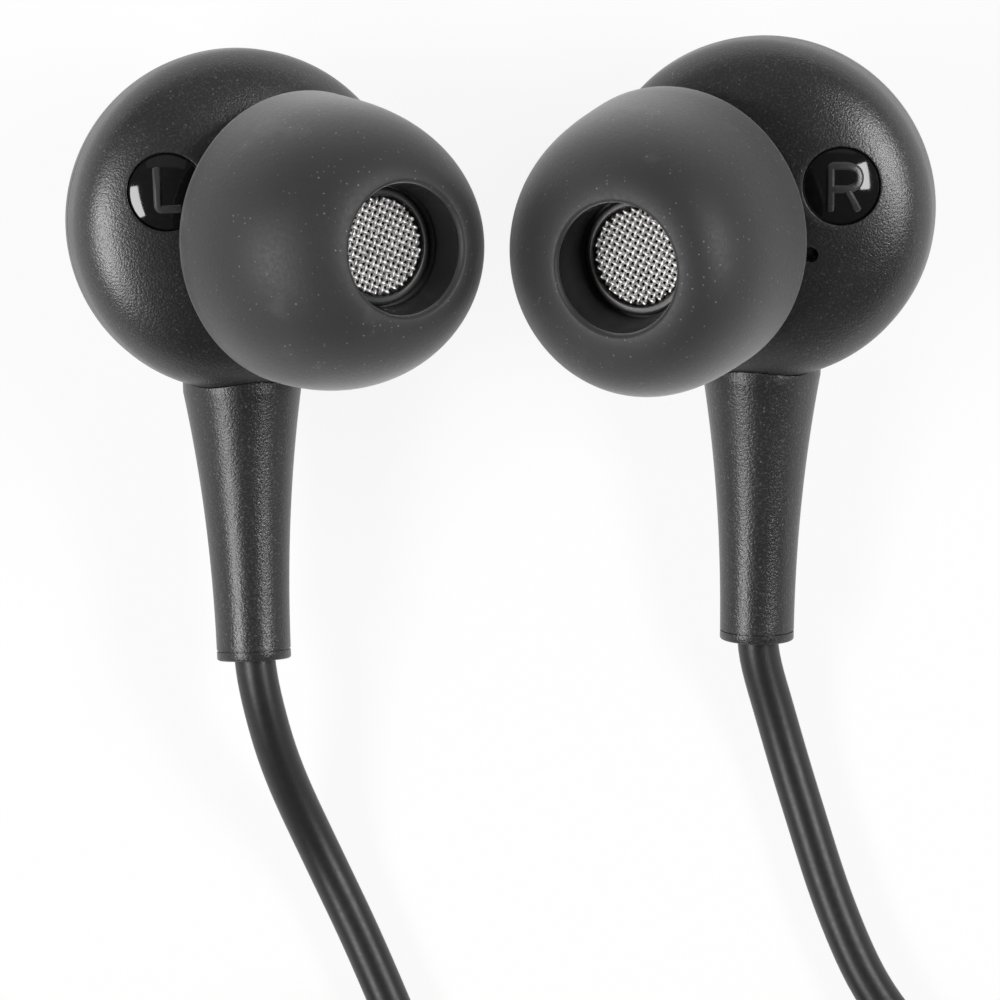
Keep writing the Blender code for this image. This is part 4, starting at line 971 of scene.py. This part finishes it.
splitterPiece = buildSplitter()
plugPieces = buildPlug()
stemEnd = housing["radius"] + stem["length"]
for earName, lie in ears.items():
    depths = (stem["start"] + earCord["inside"], (stem["start"] + stemEnd) / 2, stemEnd,
              stemEnd + earCord["straight"])
    start = [np.array(stemPlaces[earName] @ Vector((0.0, 0.0, -depth))) for depth in depths]
    inlet = (-lie["side"] * splitter["spacing"] / 2, splitter["top"] + endGap, splitter["height"] / 2)
    piece, path, length, strap = buildCord(earName, start, earCord, inlet)
outlet = (0.0, splitter["top"] - splitter["length"] - endGap, splitter["height"] / 2)
plugEnd = (plug["foot"][0], plug["foot"][1] - endGap, plug["gripRadius"])
piece, path, length, strap = buildCord("main", [outlet], mainCord, plugEnd)
print("cords made")

# Studio: a white table, two long soft boxes with a weak fill, and a camera straight above
# "backdrop" holds the sines of the elevations between which the mirrored white fades to the dim air overhead
studio = {"middle": (-0.0000174, -0.006263), "focusHeight": 0.0090, "distance": 0.9, "frameWidth": 0.041322,
          "floorSize": 1.6, "floorColour": (0.9, 0.9, 0.9, 1.0), "floorGlow": 0.90, "world": 0.09,
          "backdrop": (0.04, 0.30)}
softBoxes = [
    {"name": "keyLeft", "place": (-0.35, -0.09, 0.34), "size": (0.38, 0.12), "radiance": 14.0},
    {"name": "keyRight", "place": (0.34, 0.06, 0.36), "size": (0.32, 0.12), "radiance": 14.0},
    {"name": "topFill", "place": (0.0, 0.40, 0.30), "size": (0.5, 0.2), "radiance": 0.2},
]


def brightRays(tree, share=1.0):
    # 1 for camera rays, and share for the glossy and transmission rays that mirror the white background
    rays = tree.nodes.new("ShaderNodeLightPath")
    mirrored = addMath(tree, "MAXIMUM", rays.outputs["Is Glossy Ray"], rays.outputs["Is Transmission Ray"])
    return addMath(tree, "MAXIMUM", rays.outputs["Is Camera Ray"], addMath(tree, "MULTIPLY", mirrored, share))


def buildStudio():
    half = studio["floorSize"] / 2
    mesh = bpy.data.meshes.new("table")
    corners = [(-half, -half, 0), (half, -half, 0), (half, half, 0), (-half, half, 0)]
    mesh.from_pydata(corners, [], [(0, 1, 2, 3)])
    table = addObject("table", mesh)
    material = bpy.data.materials.new("whiteTable")
    material.use_nodes = True
    tree = material.node_tree
    tree.nodes.clear()
    paper = tree.nodes.new("ShaderNodeBsdfDiffuse")
    setInputs(paper, {"Color": studio["floorColour"]})
    glow = tree.nodes.new("ShaderNodeEmission")
    mix = tree.nodes.new("ShaderNodeMixShader")
    tree.links.new(addMath(tree, "MULTIPLY", brightRays(tree), studio["floorGlow"]), mix.inputs["Fac"])
    tree.links.new(paper.outputs["BSDF"], mix.inputs[1])
    tree.links.new(glow.outputs["Emission"], mix.inputs[2])
    output = tree.nodes.new("ShaderNodeOutputMaterial")
    tree.links.new(mix.outputs["Shader"], output.inputs["Surface"])
    mesh.materials.append(material)
    world = bpy.data.worlds.new("studioAir")
    world.use_nodes = True
    air = world.node_tree
    background = air.nodes["Background"]
    setInputs(background, {"Color": (1.0, 1.0, 1.0, 1.0)})
    # White near the horizon, where the backdrop would stand, and dim overhead
    split = air.nodes.new("ShaderNodeSeparateXYZ")
    air.links.new(air.nodes.new("ShaderNodeTexCoord").outputs["Generated"], split.inputs["Vector"])
    backdrop = addRange(air, split.outputs["Z"], *studio["backdrop"], 1.0, 0.0)
    strength = addRange(air, brightRays(air, backdrop), 0.0, 1.0, studio["world"], 1.0)
    air.links.new(strength, background.inputs["Strength"])
    bpy.context.scene.world = world
    for box in softBoxes:
        data = bpy.data.lights.new(box["name"], "AREA")
        data.shape = "RECTANGLE"
        data.size, data.size_y = box["size"]
        data.energy = box["radiance"] * math.pi * data.size * data.size_y
        addObject(box["name"], data).matrix_world = axisFrame(box["place"], box["place"])
    data = bpy.data.cameras.new("camera")
    data.sensor_width = 36.0
    data.lens = data.sensor_width * studio["distance"] / studio["frameWidth"]
    data.clip_start, data.clip_end = 0.05, 20.0
    camera = addObject("camera", data)
    camera.location = (*studio["middle"], studio["focusHeight"] + studio["distance"])
    bpy.context.scene.camera = camera
    bpy.context.scene.view_settings.view_transform = "Standard"


buildStudio()
print("studio made")
